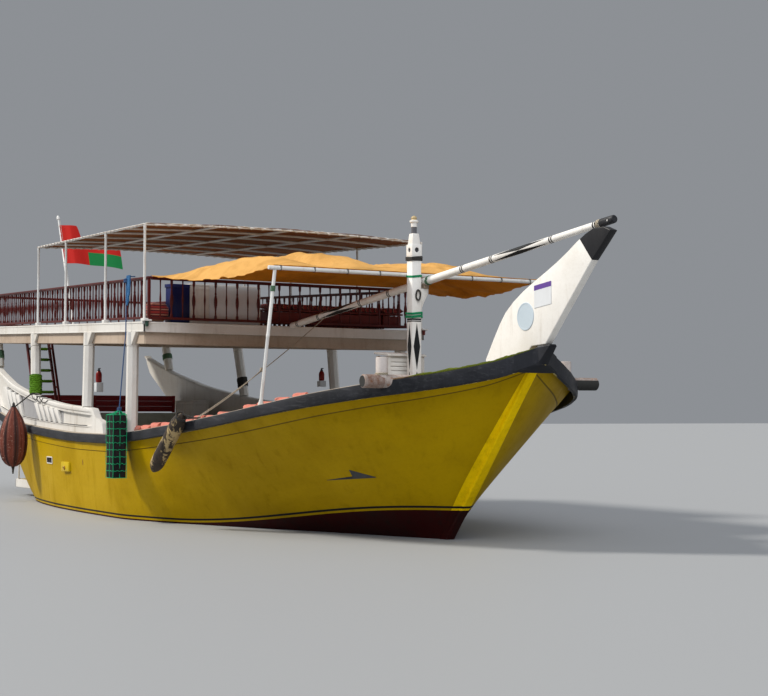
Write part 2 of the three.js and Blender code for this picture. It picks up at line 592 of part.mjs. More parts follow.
// Ensign staff on the upper deck's after edge, raked aft, and its flag
const STAFF = { x: UPPER_FRONT - 15560, rake: 0.4545, top: 8980 };
const FLAG = { top: 8700, low: 7380, fly: 1800 };
function staffAndFlag() {
  const foot = upperTop(STAFF.x) + GAP + 20;
  const at = (z) => [STAFF.x - (z - foot) * STAFF.rake, 0, z];
  const pole = (margin) => rod(at(foot), at(STAFF.top), 45 + margin, 10, 25 + margin);
  const staff = join(pole(0), rod(at(STAFF.top - 120), at(STAFF.top + 60), 60, 10, 30));
  const flat = cut(staff, sidePlate([[-15000, foot - 900], [-12000, foot - 900],
    [-12000, upperTop(-12000) + GAP], [-15000, upperTop(-15000) + GAP]], 0, 500));
  piece('flagpole', COLOURS.white, flat, 0.4);
  const [high, low] = [FLAG.top, FLAG.low];
  const rings = [0, 1, 2, 3, 4, 5].map((i) => {
    const out = i * FLAG.fly / 5;
    const sag = 160 * (i / 5) ** 2;
    const wave = i ? 110 * Math.sin(i * 1.9) : 0;
    const corner = (z, thick) => {
      const [x] = at(z);
      return [x - 8 + wave + thick + out * 0.3, out, z - sag];
    };
    return [corner(low, 0), corner(high, 0), corner(high, 16), corner(low, 16)];
  });
  piece('flag', COLOURS.red, cut(loft(rings), pole(GAP)), 0.9);
}

const PLATFORM = { top: 480, low: 240, aft: -11900, half: 2300 };
function swimPlatform() {
  const edge = (z) => -9000 - z - 2 * GAP;
  piece('swim_platform', COLOURS.yellow, sidePlate([
    [edge(PLATFORM.low), PLATFORM.low], [edge(PLATFORM.top), PLATFORM.top],
    [PLATFORM.aft, PLATFORM.top], [PLATFORM.aft, PLATFORM.low]], 0, 2 * PLATFORM.half));
  const x = PLATFORM.aft + 60;
  const posts = [-2220, -1480, -740, 740, 1480, 2220].map((y) => block(
    x - 22, x + 22, y - 22, y + 22, PLATFORM.top + GAP, PLATFORM.top + 900));
  const rails = [430, 880].map((z) => block(
    x - 20, x + 20, -2240, 2240, PLATFORM.top + z, PLATFORM.top + z + 40));
  piece('swim_rail', COLOURS.white, join(...posts, ...rails), 0.4);
}

// Benches and cushions that follow the inner side of the bulwark
function alongSide(side, from, to, outIn, z0, z1, steps = 4) {
  const rings = Array.from({ length: steps + 1 }, (_, i) => {
    const x = lerp(from, to, i / steps);
    const outer = hullInner(x, z0) - outIn[0];
    const inner = hullInner(x, z0) - outIn[1];
    return [[x, side * outer, z0], [x, side * outer, z1], [x, side * inner, z1], [x, side * inner, z0]];
  });
  return loft(rings);
}

// Inner face of the bulwark at a height, read from the raked sections
function hullInner(x, z) {
  const rows = HULL_SECTIONS.map((row) => {
    const v = Math.min(1, z / row.railZ);
    return { x: lerp(row.waterX, row.railX, v), half: lerp(row.waterHalf, row.railHalf, v) };
  });
  return readTable(rows, 'x', 'half', x) - WALL;
}

const BENCH_HEIGHT = 620;
const STERN_TOP = HULL_SECTIONS[0].railZ;
// Cushions lean on the starboard bulwark, from the bench over the break to the foredeck
const BACK_REST = { places: [550, 1500, 2500, 3500, 4500, 5500, 6350, FOREDECK_BREAK - 10, 7400, 8200],
  benchEnd: 6400, aboveRail: 110, thick: 190 };
const LOCKER = { x0: -9800, x1: -8450, y0: 2000, y1: 2540, top: 2850 };
function mainDeckSeats() {
  const seat = MAIN_DECK + BENCH_HEIGHT;
  piece('bench_starboard', COLOURS.white, alongSide(-1, 600, 6400, [60, 560], MAIN_DECK + GAP, seat), 0.6);
  const backRest = BACK_REST.places.map((x) => {
    const low = (x < BACK_REST.benchEnd ? seat : foredeckTop(x)) + GAP;
    const [foot, head] = [hullInner(x, low) - 20, hullInner(x, railTop(x)) - 80];
    const high = railTop(x) + BACK_REST.aboveRail;
    return [[x, -foot, low], [x, -head, high], [x, BACK_REST.thick - head, high],
      [x, BACK_REST.thick + 70 - foot, low]];
  });
  piece('cushion_starboard', COLOURS.salmon, loft(backRest), 0.9);
  piece('bench_port', COLOURS.maroon, alongSide(1, -8300, 1500, [60, 560], MAIN_DECK + GAP, seat, 6), 0.6);
  piece('cushion_port', COLOURS.salmon, alongSide(1, -3000, 1450, [70, 420], seat + GAP, seat + 140), 0.9);
  piece('locker', COLOURS.white,
    block(LOCKER.x0, LOCKER.x1, LOCKER.y0, LOCKER.y1, MAIN_DECK + GAP, LOCKER.top), 0.5);
}

// Slatted rail that stands on the transom between the wings
const STERN_RAIL = { x0: -11440, x1: -11380, half: 2640, board: 120, high: 520 };
function sternRail() {
  const { x0, x1, half, board, high } = STERN_RAIL;
  const boards = [40, 210, 380].map((z) => block(x0, x1, -half, half, STERN_TOP + z, STERN_TOP + z + board));
  const posts = [-half, -half / 2, 0, half / 2, half].map((y) => block(
    x0 - 20, x1 + 20, y - 40, y + 40, STERN_TOP - 60, STERN_TOP + high));
  return cut(join(...boards, ...posts), belowRail(x0 - 60, x1 + 60));
}

function upperDeckSeats() {
  const lShape = (length, width, high, raise) => {
    const plan = [[0, 0], [-length, 0], [-length, width], [-620, width], [-620, 3600], [0, 3600]];
    const shape = new THREE.Shape(plan.map(([x, y]) => new THREE.Vector2(x, -y)));
    const body = new THREE.ExtrudeGeometry(shape, { depth: high, bevelEnabled: false });
    body.translate(0, 0, raise);
    return onUpperDeck(body, [UPPER_FRONT - 150, 3120], [UPPER_FRONT, 3120]);
  };
  piece('upper_bench', COLOURS.maroon, lShape(4200, 560, 400, 0));
  piece('upper_cushion', COLOURS.red, lShape(4160, 540, 130, 400 + GAP), 0.9);
  const board = onUpperDeck(block(0, 420, -2870, -670, 0, 900), [UPPER_FRONT - 640, 0], [UPPER_FRONT, 0]);
  piece('counter', COLOURS.white, board, 0.5);
  const corner = onUpperDeck(block(0, 480, -3370, -2910, 0, 480), [UPPER_FRONT - 700, 0], [UPPER_FRONT, 0]);
  piece('corner_cushion', COLOURS.red, corner, 0.9);
}

function foredeckBox() {
  const [x0, x1] = [6760, 7260];
  const low = (x) => foredeckTop(x) + GAP;
  return sidePlate([[x0, low(x0)], [x1, low(x1)], [x1, 3600], [x0, 3660]], 25, 850);
}

// Fenders hang outside the starboard side, each with its lanyard up to what holds it
const DROP_FENDER = { x: -7400, z: 1815, radius: 385, hookX: -6930, capInside: -3180 };
const DROP_PROFILE = [[0, -835], [150, -810], [290, -640], [370, -340], [385, -80], [350, 220],
  [250, 500], [120, 720], [40, 830], [0, 840]];
const BLOCK_FENDER = { x: 1190, wide: 460, deep: 320, z0: 975, z1: 2400, ropeY: -3680 };
const LOG_FENDER = { topX: 4680, topZ: 2400, footX: 3300, footZ: 1200, radius: 158, holdX: 4860 };
const offRail = (x) => -(railHalf(x) + RUB_THICK);

function dropFender() {
  const { x, z, radius, hookX, capInside } = DROP_FENDER;
  const y = offRail(x) - radius - 10;
  const hook = [hookX, offRail(hookX) - 10, wingTop(hookX) + 40];
  const clip = block(hookX - 15, hookX + 15, hook[1] - 15, capInside, wingTop(hookX - 15) + GAP, hook[2]);
  return join(lathe(DROP_PROFILE, 12).translate(x, y, z), rod([x, y, z + 780], hook, 18, 6), clip);
}

function blockFender() {
  const { x, wide, deep, z0, z1, ropeY } = BLOCK_FENDER;
  const y = offRail(x - wide / 2) - GAP;
  const underFascia = upperTop(x) - FASCIA;
  const handrail = upperTop(x) + RAILING_HEIGHT;
  return join(
    block(x - wide / 2, x + wide / 2, y - deep, y, z0, z1),
    rod([x, y - 60, z1 - 20], [x, ropeY, underFascia], 16, 6),
    rod([x, ropeY, underFascia - 10], [x, ropeY, handrail + 15], 16, 6),
    block(x - 14, x + 14, ropeY, -upperHalf(x) + 98, handrail + 2, handrail + 28));
}

function logFender() {
  const { topX, topZ, footX, footZ, radius, holdX } = LOG_FENDER;
  const [top, foot] = [[topX, offRail(topX) - 170, topZ], [footX, offRail(footX) - 180, footZ]];
  const along = (t) => foot.map((from, i) => lerp(from, top[i], t));
  return join(
    rod(foot, along(0.13), 60, 10, 150),
    rod(along(0.13), along(0.86), radius, 10),
    rod(along(0.86), top, 150, 10, 50),
    rod(along(0.98), [holdX, offRail(holdX) - 20, railTop(holdX) + 22], 20, 6),
    block(holdX - 15, holdX + 15, offRail(holdX) - 40, -3420,
      railTop(holdX + 15) + GAP, railTop(holdX + 15) + 32));
}

piece('hull', COLOURS.hull, hull(), 0.45);
piece('main_deck', COLOURS.deck, mainDeck());
piece('foredeck', COLOURS.deck, foredeck());
piece('engine', COLOURS.engine,
  block(ENGINE.x0, ENGINE.x1, -ENGINE.half, ENGINE.half, ENGINE.z0, ENGINE.z1), 0.5);
piece('stem_head', COLOURS.white, stemHead(), 0.4);
piece('rub_rail_starboard', COLOURS.black, rubRail(-1));
piece('rub_rail_port', COLOURS.black, rubRail(1));
piece('stern_wing_starboard', COLOURS.white, sternWing(-1), 0.4);
piece('stern_wing_port', COLOURS.white, sternWing(1), 0.4);
piece('bow_beam', COLOURS.wood, bowBeam(), 0.8);
piece('mast', COLOURS.white, mast(), 0.4);
piece('yard', COLOURS.white, yard(), 0.4);
piece('propeller', COLOURS.bronze, propeller(), 0.35, 0.9);
piece('rudder', COLOURS.maroon, rudder());
piece('upper_deck', COLOURS.white, upperDeck());
piece('ladder', COLOURS.maroon, ladder());
piece('stern_rail', COLOURS.maroon, sternRail());
COLUMNS.forEach((row) => {
  piece(`${row.name}_starboard`, COLOURS.white, column(row, -1), 0.4);
  piece(`${row.name}_port`, COLOURS.white, column(row, 1), 0.4);
});
railings();
canopy();
awningRig();
staffAndFlag();
swimPlatform();
mainDeckSeats();
upperDeckSeats();
piece('foredeck_box', COLOURS.white, foredeckBox(), 0.5);
piece('fender_drop', COLOURS.rubber, dropFender(), 0.8);
piece('fender_block', COLOURS.rubber, blockFender(), 0.8);
piece('fender_log', COLOURS.rubber, logFender(), 0.8);

export default model;
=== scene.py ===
"""A wooden passenger dhow afloat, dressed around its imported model. Metres: +X bow, +Y port, +Z up."""
from bisect import bisect
from math import atan2, copysign, cos, pi, radians, sin, sqrt

import bpy
from mathutils import Matrix, Vector, noise


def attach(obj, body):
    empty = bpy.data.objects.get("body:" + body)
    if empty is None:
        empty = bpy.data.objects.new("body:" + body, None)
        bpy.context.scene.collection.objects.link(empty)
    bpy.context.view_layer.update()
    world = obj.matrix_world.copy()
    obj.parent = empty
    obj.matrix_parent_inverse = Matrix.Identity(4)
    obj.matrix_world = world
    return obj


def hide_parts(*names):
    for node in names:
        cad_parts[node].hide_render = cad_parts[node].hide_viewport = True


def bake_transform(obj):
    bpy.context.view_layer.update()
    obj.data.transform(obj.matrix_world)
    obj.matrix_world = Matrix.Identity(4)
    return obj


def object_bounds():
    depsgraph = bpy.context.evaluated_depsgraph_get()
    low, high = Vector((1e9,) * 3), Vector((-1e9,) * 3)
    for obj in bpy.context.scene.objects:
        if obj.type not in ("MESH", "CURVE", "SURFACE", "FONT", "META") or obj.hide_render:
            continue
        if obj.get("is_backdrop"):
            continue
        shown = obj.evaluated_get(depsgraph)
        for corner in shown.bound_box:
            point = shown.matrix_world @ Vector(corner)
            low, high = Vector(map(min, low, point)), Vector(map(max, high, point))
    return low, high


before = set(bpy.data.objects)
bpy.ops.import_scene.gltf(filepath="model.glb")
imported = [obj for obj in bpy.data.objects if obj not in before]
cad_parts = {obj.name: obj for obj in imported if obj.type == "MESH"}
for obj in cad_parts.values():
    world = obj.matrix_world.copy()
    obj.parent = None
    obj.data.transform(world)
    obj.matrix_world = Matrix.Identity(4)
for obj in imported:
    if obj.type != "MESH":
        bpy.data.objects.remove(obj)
cad_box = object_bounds()
bpy.ops.object.select_all(action="DESELECT")

# Shape of the boat, as in the part's own tables
HULL = [  # water_x, rail_x, water_half, rail_half, rail_z, bottom
    (-9.0, -11.5, 2.56, 2.9, 2.5, 0.4), (-7.9, -9.9, 2.86, 3.04, 2.31, 0.52),
    (-6.3, -7.7, 3.13, 3.2, 2.15, 0.69), (-4.3, -5.0, 3.33, 3.43, 2.04, 0.85),
    (-2.0, -2.2, 3.4, 3.57, 1.96, 0.92), (0, 0, 3.39, 3.65, 1.95, 0.94),
    (1.5, 1.6, 3.08, 3.63, 2.03, 0.94), (3.0, 3.3, 2.5, 3.57, 2.16, 0.93),
    (4.5, 5.1, 1.87, 3.47, 2.32, 0.9), (5.9, 6.9, 1.26, 3.31, 2.52, 0.85),
    (7.1, 8.5, 0.76, 2.92, 2.75, 0.8), (8.0, 9.7, 0.42, 2.36, 2.93, 0.76),
    (8.55, 10.7, 0.18, 1.56, 3.1, 0.73), (8.83, 11.45, 0.07, 0.76, 3.29, 0.71),
    (8.9, 11.95, 0.02, 0.03, 3.56, 0.7),
]
WING = [  # distance aft of the upper deck's front, top height, half width
    (2.68, 2.09, 3.58), (2.84, 2.215, 3.575), (3.3, 2.34, 3.56), (3.62, 2.555, 3.54), (4.18, 2.585, 3.51),
    (6.0, 2.67, 3.42), (9.0, 2.93, 3.23), (11.7, 3.29, 3.06), (12.7, 3.495, 2.97), (14.0, 3.79, 2.85),
    (15.62, 4.33, 2.6),
]
LAST = len(HULL) - 1
UPPER_FRONT, UPPER_AFT = 2.1, -13.8
UPPER_HEIGHT, UPPER_SLOPE, FASCIA = 4.43, 0.0455, 0.22
MAIN_DECK, FOREDECK_AFT = 1.18, 6.6
MAST_X, MAST_HALF = 7.6, 0.107
POLE_X, POLE_Z, POLE_HALF = 7.4527, 5.19, 3.04
BOW_BEAM_X, BOW_BEAM_Z = 10.11, 2.97
YARD_Z, YARD_Y, YARD_TOE, YARD_RISE = 5.05, 0.236, radians(2.7), 0.1119
UP, AHEAD = Vector((0, 0, 1)), Vector((1, 0, 0))
SIDES = ((-1, "starboard"), (1, "port"))


def between(a, b, t):
    return a + (b - a) * t


def clamp(value, low=0.0, high=1.0):
    return max(low, min(high, value))


def ease(t):
    t = clamp(t)
    return t * t * (3 - 2 * t)


def angles(count, shift=0.0, over=0):
    """Angles round a full turn. over adds some past its end."""
    return [2 * pi * (i + shift) / count for i in range(count + over)]


def rough(x, y, z):
    return noise.noise(Vector((x, y, z)))


def curve_through(keys, values):
    """A smooth reading through rising keys that never overshoots its values."""
    count = len(keys)
    steps = [(values[i + 1] - values[i]) / (keys[i + 1] - keys[i]) for i in range(count - 1)]
    inner = [0 if a * b <= 0 else 2 * a * b / (a + b) for a, b in zip(steps, steps[1:])]
    slopes = [steps[0], *inner, steps[-1]]

    def read(at):
        at = clamp(at, keys[0], keys[-1])
        i = clamp(bisect(keys, at) - 1, 0, count - 2)
        wide = keys[i + 1] - keys[i]
        t = (at - keys[i]) / wide
        start, end = values[i], values[i + 1]
        return ((1 + 2 * t) * (1 - t) ** 2 * start + t * (1 - t) ** 2 * wide * slopes[i]
                + t * t * (3 - 2 * t) * end + t * t * (t - 1) * wide * slopes[i + 1])
    return read


HULL_COLUMNS, WING_COLUMNS = list(zip(*HULL)), list(zip(*reversed(WING)))
STATIONS, STEPS = range(len(HULL)), (0, 0.2, 0.5, 0.8, 1)
water_x, rail_x = curve_through(STATIONS, HULL_COLUMNS[0]), curve_through(STATIONS, HULL_COLUMNS[1])
water_half = curve_through(HULL_COLUMNS[0], HULL_COLUMNS[2])
rail_half = curve_through(HULL_COLUMNS[1], HULL_COLUMNS[3])
rail_top = curve_through(HULL_COLUMNS[1], HULL_COLUMNS[4])
bottom = curve_through(STATIONS, HULL_COLUMNS[5])
wing_keys = [UPPER_FRONT - back for back in WING_COLUMNS[0]]
wing_top, wing_half = curve_through(wing_keys, WING_COLUMNS[1]), curve_through(wing_keys, WING_COLUMNS[2])
flare_round = curve_through(STEPS, [v ** 0.7 for v in STEPS])
flare_straight = curve_through(STEPS, [v ** 0.95 for v in STEPS])


def upper_top(x):
    return UPPER_HEIGHT + UPPER_SLOPE * (UPPER_FRONT - x)


def upper_half(x):
    return 3.615 - 0.05 * (UPPER_FRONT - x)


def foredeck_top(x):
    return 2.15 + (x - FOREDECK_AFT) * 0.163


def topside(s, v, out=0.0):
    """A point on the hull's port skin, above water: s runs aft to fore, v from the water to the rail."""
    low_x, high_x = water_x(s), rail_x(s)
    flare = between(flare_round(v), flare_straight(v), ease(s - 6))
    half = between(water_half(low_x), rail_half(high_x), flare)
    return Vector((between(low_x, high_x, v), half + out, rail_top(high_x) * v))


def underside(s, t):
    """A point on the hull's port skin, below water: t runs from the keel to the water."""
    angle = t * pi / 2
    low_x = water_x(s)
    rake = min(0, low_x - rail_x(s)) * 0.28
    half = max(0.02, water_half(low_x) * sin(angle) ** 0.9)
    return Vector((low_x + rake * cos(angle), half, -bottom(s) * cos(angle) ** 0.8))


def on_hull(x, z, side=-1, out=0.0):
    """The point of the hull's skin at a place along the boat and a height."""
    low, high = 0.0, float(LAST)
    for _ in range(30):
        middle = (low + high) / 2
        at = topside(middle, clamp(z / rail_top(rail_x(middle))))
        low, high = (middle, high) if at.x < x else (low, middle)
    point = topside(low, clamp(z / rail_top(rail_x(low))), out)
    return Vector((x, side * point.y, z))


# Modelling
def pick(piece):
    bpy.ops.object.select_all(action="DESELECT")
    bpy.context.view_layer.objects.active = piece
    piece.select_set(True)


def edit(piece):
    pick(piece)
    bpy.ops.object.mode_set(mode="EDIT")
    bpy.ops.mesh.select_all(action="SELECT")


def done():
    bpy.ops.object.mode_set(mode="OBJECT")


def apply(piece, kind, **settings):
    """Adds a modifier with its settings and applies it."""
    pick(piece)
    modifier = piece.modifiers.new(kind.lower(), kind)
    for name, value in settings.items():
        setattr(modifier, name, value)
    bpy.ops.object.modifier_apply(modifier=modifier.name)
    return piece


def skin(rows, ring=False, ends=False, chart=None):
    """A grid shaped to rows of points. ring joins each row's ends, ends fills the first and last row."""
    rows = [[Vector(p) for p in row] for row in rows]
    if ring:
        rows = [row + [row[0]] for row in rows]
    down, across = len(rows), len(rows[0])
    bpy.ops.mesh.primitive_grid_add(x_subdivisions=across - 1, y_subdivisions=down - 1)
    piece = bpy.context.object
    mesh = piece.data
    mesh.vertices.foreach_set("co", [c for row in rows for p in row for c in p])
    if chart is None:
        along, over = [0.0], [0.0]
        middle = across // 2
        for a, b in zip(rows, rows[1:]):
            along.append(along[-1] + (b[middle] - a[middle]).length)
        widest = rows[down // 2]
        for a, b in zip(widest, widest[1:]):
            over.append(over[-1] + (b - a).length)
        chart = [[(u, v) for v in over] for u in along]
    layer = mesh.uv_layers.active.data
    for loop in mesh.loops:
        layer[loop.index].uv = chart[loop.vertex_index // across][loop.vertex_index % across]
    mesh.update()
    if ring:
        edit(piece)
        bpy.ops.mesh.remove_doubles(threshold=1e-5)
        if ends:
            bpy.ops.mesh.select_all(action="DESELECT")
            bpy.ops.mesh.select_non_manifold()
            bpy.ops.mesh.fill_holes(sides=0)
            bpy.ops.mesh.select_all(action="SELECT")
            bpy.ops.mesh.normals_make_consistent(inside=False)
        done()
    return piece


def sheet_of(rows, thick, offset=0, chart=None):
    """A grid with a thickness."""
    return apply(skin(rows, chart=chart), "SOLIDIFY", thickness=thick, offset=offset)


def prism(at, xs, ys, zs):
    """Eight corners in a cube's own order, each put in place by at."""
    return [Vector(at(x, y, z)) for x in xs for y in ys for z in zs]


def slab(x0, x1, y0, y1, z0, z1):
    return prism(lambda *p: p, (x0, x1), (y0, y1), (z0, z1))


def bar(start, end, wide, deep, up=UP):
    """Eight corners of a square bar between two points."""
    start, end = Vector(start), Vector(end)
    along = (end - start).normalized()
    across = Vector(up).cross(along).normalized()
    over = along.cross(across)
    return prism(lambda p, y, z: p + across * y * wide / 2 + over * z * deep / 2,
                 (start, end), (-1, 1), (-1, 1))


def timbers(corners, edge=0.008, segments=1):
    """Blocks with softened edges, as one piece."""
    bpy.ops.mesh.primitive_cube_add(size=1)
    piece = bpy.context.object
    edit(piece)
    for _ in corners[1:]:
        bpy.ops.mesh.primitive_cube_add(size=1)
    done()
    piece.data.vertices.foreach_set("co", [c for block in corners for p in block for c in p])
    piece.data.update()
    edit(piece)
    bpy.ops.mesh.normals_make_consistent(inside=False)
    if edge:
        bpy.ops.mesh.bevel(offset=edge, segments=segments, affect="EDGES", clamp_overlap=True)
    done()
    return piece


def plate(outline, thick, place, edge=0.01, segments=2):
    """A flat outline given a thickness. place turns (u, v, depth) into a point."""
    bpy.ops.mesh.primitive_circle_add(vertices=len(outline), fill_type="NGON")
    piece = bpy.context.object
    piece.data.vertices.foreach_set("co", [c for u, v in outline for c in place(u, v, -thick / 2)])
    piece.data.update()
    step = Vector(place(0, 0, thick)) - Vector(place(0, 0, 0))
    edit(piece)
    bpy.ops.mesh.extrude_region_move(TRANSFORM_OT_translate={"value": step})
    bpy.ops.mesh.select_all(action="SELECT")
    bpy.ops.mesh.normals_make_consistent(inside=False)
    done()
    return bevelled(piece, edge, segments)


def bevelled(piece, wide, segments, angle=0.5):
    return apply(piece, "BEVEL", width=wide, segments=segments, limit_method="ANGLE", angle_limit=angle)


def side_of(along):
    """An axis square to a direction."""
    return along.cross(UP if abs(along.z) < 0.9 else AHEAD).normalized()


def axes_of(start, end):
    along = (end - start).normalized()
    side = side_of(along)
    return along, side, along.cross(side)


def frames_along(points):
    """Each point of a line with two axes across it that don't twist."""
    points = [Vector(p) for p in points]
    ahead = [(b - a).normalized() for a, b in zip(points, points[1:])]
    tangents = [ahead[0], *[(a + b).normalized() for a, b in zip(ahead, ahead[1:])], ahead[-1]]
    side = side_of(tangents[0])
    made = []
    for point, tangent in zip(points, tangents):
        side = (side - tangent * side.dot(tangent)).normalized()
        made.append((point, side, tangent.cross(side)))
    return made


def tube(points, radius, around=8):
    """A round bar or rope along a line. radius is a number or one for each point."""
    radii = radius if isinstance(radius, (list, tuple)) else [radius] * len(points)
    return skin([[point + side * r * cos(a) + over * r * sin(a) for a in angles(around, 0.5)]
                 for (point, side, over), r in zip(frames_along(points), radii)], ring=True, ends=True)


def turned(start, end, profile, around=12):
    """A lathed part: profile is a list of distance along and radius."""
    start = Vector(start)
    along, side, over = axes_of(start, Vector(end))
    return skin([[start + along * d + (side * cos(a) + over * sin(a)) * r for a in angles(around, 0.5)]
                 for d, r in profile], ring=True, ends=True)


def joined(pieces):
    """Several pieces made one."""
    bpy.ops.object.select_all(action="DESELECT")
    for piece in pieces:
        piece.select_set(True)
    bpy.context.view_layer.objects.active = pieces[0]
    if len(pieces) > 1:
        bpy.ops.object.join()
    return bpy.context.object


def sag(a, b, drop, count=12):
    """A rope's line between two points with a little slack."""
    a, b = Vector(a), Vector(b)
    return [a.lerp(b, i / count) - UP * drop * 4 * (i / count) * (1 - i / count) for i in range(count + 1)]


def piece_is(piece, name, material, body="boat", node=None, smooth=0.6):
    """Names a finished piece, gives it its material and its body, and hides the CAD node it stands for."""
    piece.name = name
    piece.data.name = name
    if not piece.data.materials:
        piece.data.materials.append(material)
    pick(piece)
    bpy.ops.object.shade_smooth_by_angle(angle=smooth)
    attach(piece, body)
    if node:
        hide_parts(node)
    return piece


def painted(piece, material):
    piece.data.materials.append(material)
    return piece


# Camera, light and floor
FOCAL_PIXELS, PHOTO_WIDE, SENSOR = 1505, 768, 36
LIGHTS = (("sun", 3.5, 9, (1.0, 0.95, 0.87), (0.5, 0.62, -0.66)),
          ("sky_glow", 2.0, 50, (0.94, 0.96, 1.0), (-0.62, 0.3, -0.75)))


def put_in(name, data, way):
    """Adds a camera or a light that looks a given way."""
    made = bpy.data.objects.new(name, data)
    bpy.context.scene.collection.objects.link(made)
    made.rotation_mode = "QUATERNION"
    made.rotation_quaternion = Vector(way).to_track_quat("-Z", "Y")
    return made


def set_the_stage():
    data = bpy.data.cameras.new("camera")
    data.sensor_width, data.clip_end = SENSOR, 2000
    data.lens = SENSOR * FOCAL_PIXELS / PHOTO_WIDE
    pitch = radians(2.66)
    camera = put_in("camera", data, (-0.865 * cos(pitch), 0.5015 * cos(pitch), sin(pitch)))
    camera.location = (33.29, -15.59, 2.32)
    bpy.context.scene.camera = camera
    for name, energy, spread_angle, colour, way in LIGHTS:
        light = bpy.data.lights.new(name, "SUN")
        light.energy, light.angle, light.color = energy, radians(spread_angle), colour
        put_in(name, light, way)
    world = bpy.data.worlds.new("studio")
    bpy.context.scene.world = world
    world.use_nodes = True
    world.node_tree.nodes["Background"].inputs["Color"].default_value = (0.78, 0.82, 0.88, 1)
    world.node_tree.nodes["Background"].inputs["Strength"].default_value = 0.34
    bpy.ops.mesh.primitive_plane_add(size=900, location=(0, 0, 0))
    floor = bpy.context.object
    floor.name = "floor"
    pale = bpy.data.materials.new("floor_pale")
    pale.use_nodes = True
    shader = pale.node_tree.nodes["Principled BSDF"]
    shader.inputs["Base Color"].default_value = (0.33, 0.34, 0.35, 1)
    shader.inputs["Roughness"].default_value = 0.55
    floor.data.materials.append(pale)
    floor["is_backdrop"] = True
    bpy.context.scene.view_settings.view_transform = "Standard"


set_the_stage()


# Shader groups and materials
class Val:
    """A node's output that can be added, subtracted, multiplied and divided."""

    def __init__(self, socket):
        self.socket = socket
        self.tree = socket.id_data

    def calc(self, operation, *values):
        return wire(self.tree, "ShaderNodeMath", *values, operation=operation)[0]

    def __add__(self, other):
        return self.calc("ADD", self, other)

    def __radd__(self, other):
        return self.calc("ADD", other, self)

    def __sub__(self, other):
        return self.calc("SUBTRACT", self, other)

    def __rsub__(self, other):
        return self.calc("SUBTRACT", other, self)

    def __mul__(self, other):
        return self.calc("MULTIPLY", self, other)

    def __truediv__(self, other):
        return self.calc("DIVIDE", self, other)

    def __abs__(self):
        return self.calc("ABSOLUTE", self)

    def __gt__(self, other):
        return self.calc("GREATER_THAN", self, other)

    def __lt__(self, other):
        return self.calc("LESS_THAN", self, other)


def wire(tree, kind, *values, named=(), **settings):
    """Adds a node, sets it, feeds its inputs with values or other nodes' outputs, and gives its outputs."""
    node = tree.nodes.new(kind)
    for name, value in settings.items():
        setattr(node, name, value)
    for socket, value in [*enumerate(values), *dict(named).items()]:
        if isinstance(value, Val):
            tree.links.new(value.socket, node.inputs[socket])
        else:
            socket = node.inputs[socket]
            socket.default_value = (*value[:3], 1) if socket.type == "RGBA" else value
    return [Val(socket) for socket in node.outputs]


def mixed(share, low, high):
    return wire(share.tree, "ShaderNodeMix", data_type="RGBA", named={0: share, 6: low, 7: high})[2]


def ramp(value, low, high, start=0, end=1):
    """Eases from start below low to end above high."""
    return wire(value.tree, "ShaderNodeMapRange", value, low, high, start, end,
                interpolation_type="SMOOTHSTEP")[0]


def stretched(place, by):
    return wire(place.tree, "ShaderNodeVectorMath", place, by, operation="MULTIPLY")[0]


def speckle(place, scale, detail=4.0, coarse=0.6, distortion=0.0):
    return wire(place.tree, "ShaderNodeTexNoise", named={
        "Vector": place, "Scale": scale, "Detail": detail, "Roughness": coarse, "Distortion": distortion})[0]


def parts(vector):
    return wire(vector.tree, "ShaderNodeSeparateXYZ", vector)


def object_place(tree):
    return Val(tree.nodes.new("ShaderNodeTexCoord").outputs["Object"])


def chart_of(tree):
    """Distance along and across on the chart that skin draws, in metres."""
    return parts(Val(tree.nodes.new("ShaderNodeTexCoord").outputs["UV"]))


def new_group(name, inputs, build):
    """A node group. build is given its tree and its inputs by name, and returns its outputs by name."""
    tree = bpy.data.node_groups.new(name, "ShaderNodeTree")
    kinds = {4: "Color", 3: "Vector"}
    for label, value in inputs.items():
        kind = kinds[len(value)] if isinstance(value, tuple) else "Float"
        entry = tree.interface.new_socket(label, in_out="INPUT", socket_type=f"NodeSocket{kind}")
        entry.default_value = value
    given = tree.nodes.new("NodeGroupInput").outputs
    made = build(tree, {label: Val(given[label]) for label in inputs})
    for label, value in made.items():
        kind = "Color" if label == "Color" else "Float"
        tree.interface.new_socket(label, in_out="OUTPUT", socket_type=f"NodeSocket{kind}")
    out = tree.nodes.new("NodeGroupOutput").inputs
    for label, value in made.items():
        tree.links.new(value.socket, out[label])
    return tree


def weather(tree, given):
    """Faded, streaked and scratched paint."""
    place, scale = object_place(tree), given["Scale"]
    broad = speckle(place, scale * 0.55, 5, 0.62, 0.4)
    fine = speckle(place, scale * 14.0, 7, 0.68)
    runs = speckle(stretched(place, (1, 1, 0.12)), scale * 4.5, 6, 0.6)
    fade = ramp(broad, 0.35, 0.72) * given["Fading"]
    streak = ramp(runs, 0.52, 0.74) * given["Streaks"]
    mottle = ramp(fine, 0.45, 0.8) * (given["Fading"] * 0.5)
    share = fade.calc("MINIMUM", fade + streak + mottle, 1.0)
    worn = mixed(share, given["Paint"], given["Grime"])
    edge = 0.78 - given["Chips"] * 0.25
    chip = ramp(speckle(place, scale * 5.0, 9, 0.75, 0.8), edge, edge + 0.02)
    return {"Color": mixed(chip, worn, given["Bared"]),
            "Roughness": given["Rough"] + share * 0.3 + chip * 0.2,
            "Height": fine * 0.3 - chip * 0.5 + broad * 0.4, "Chip": chip}


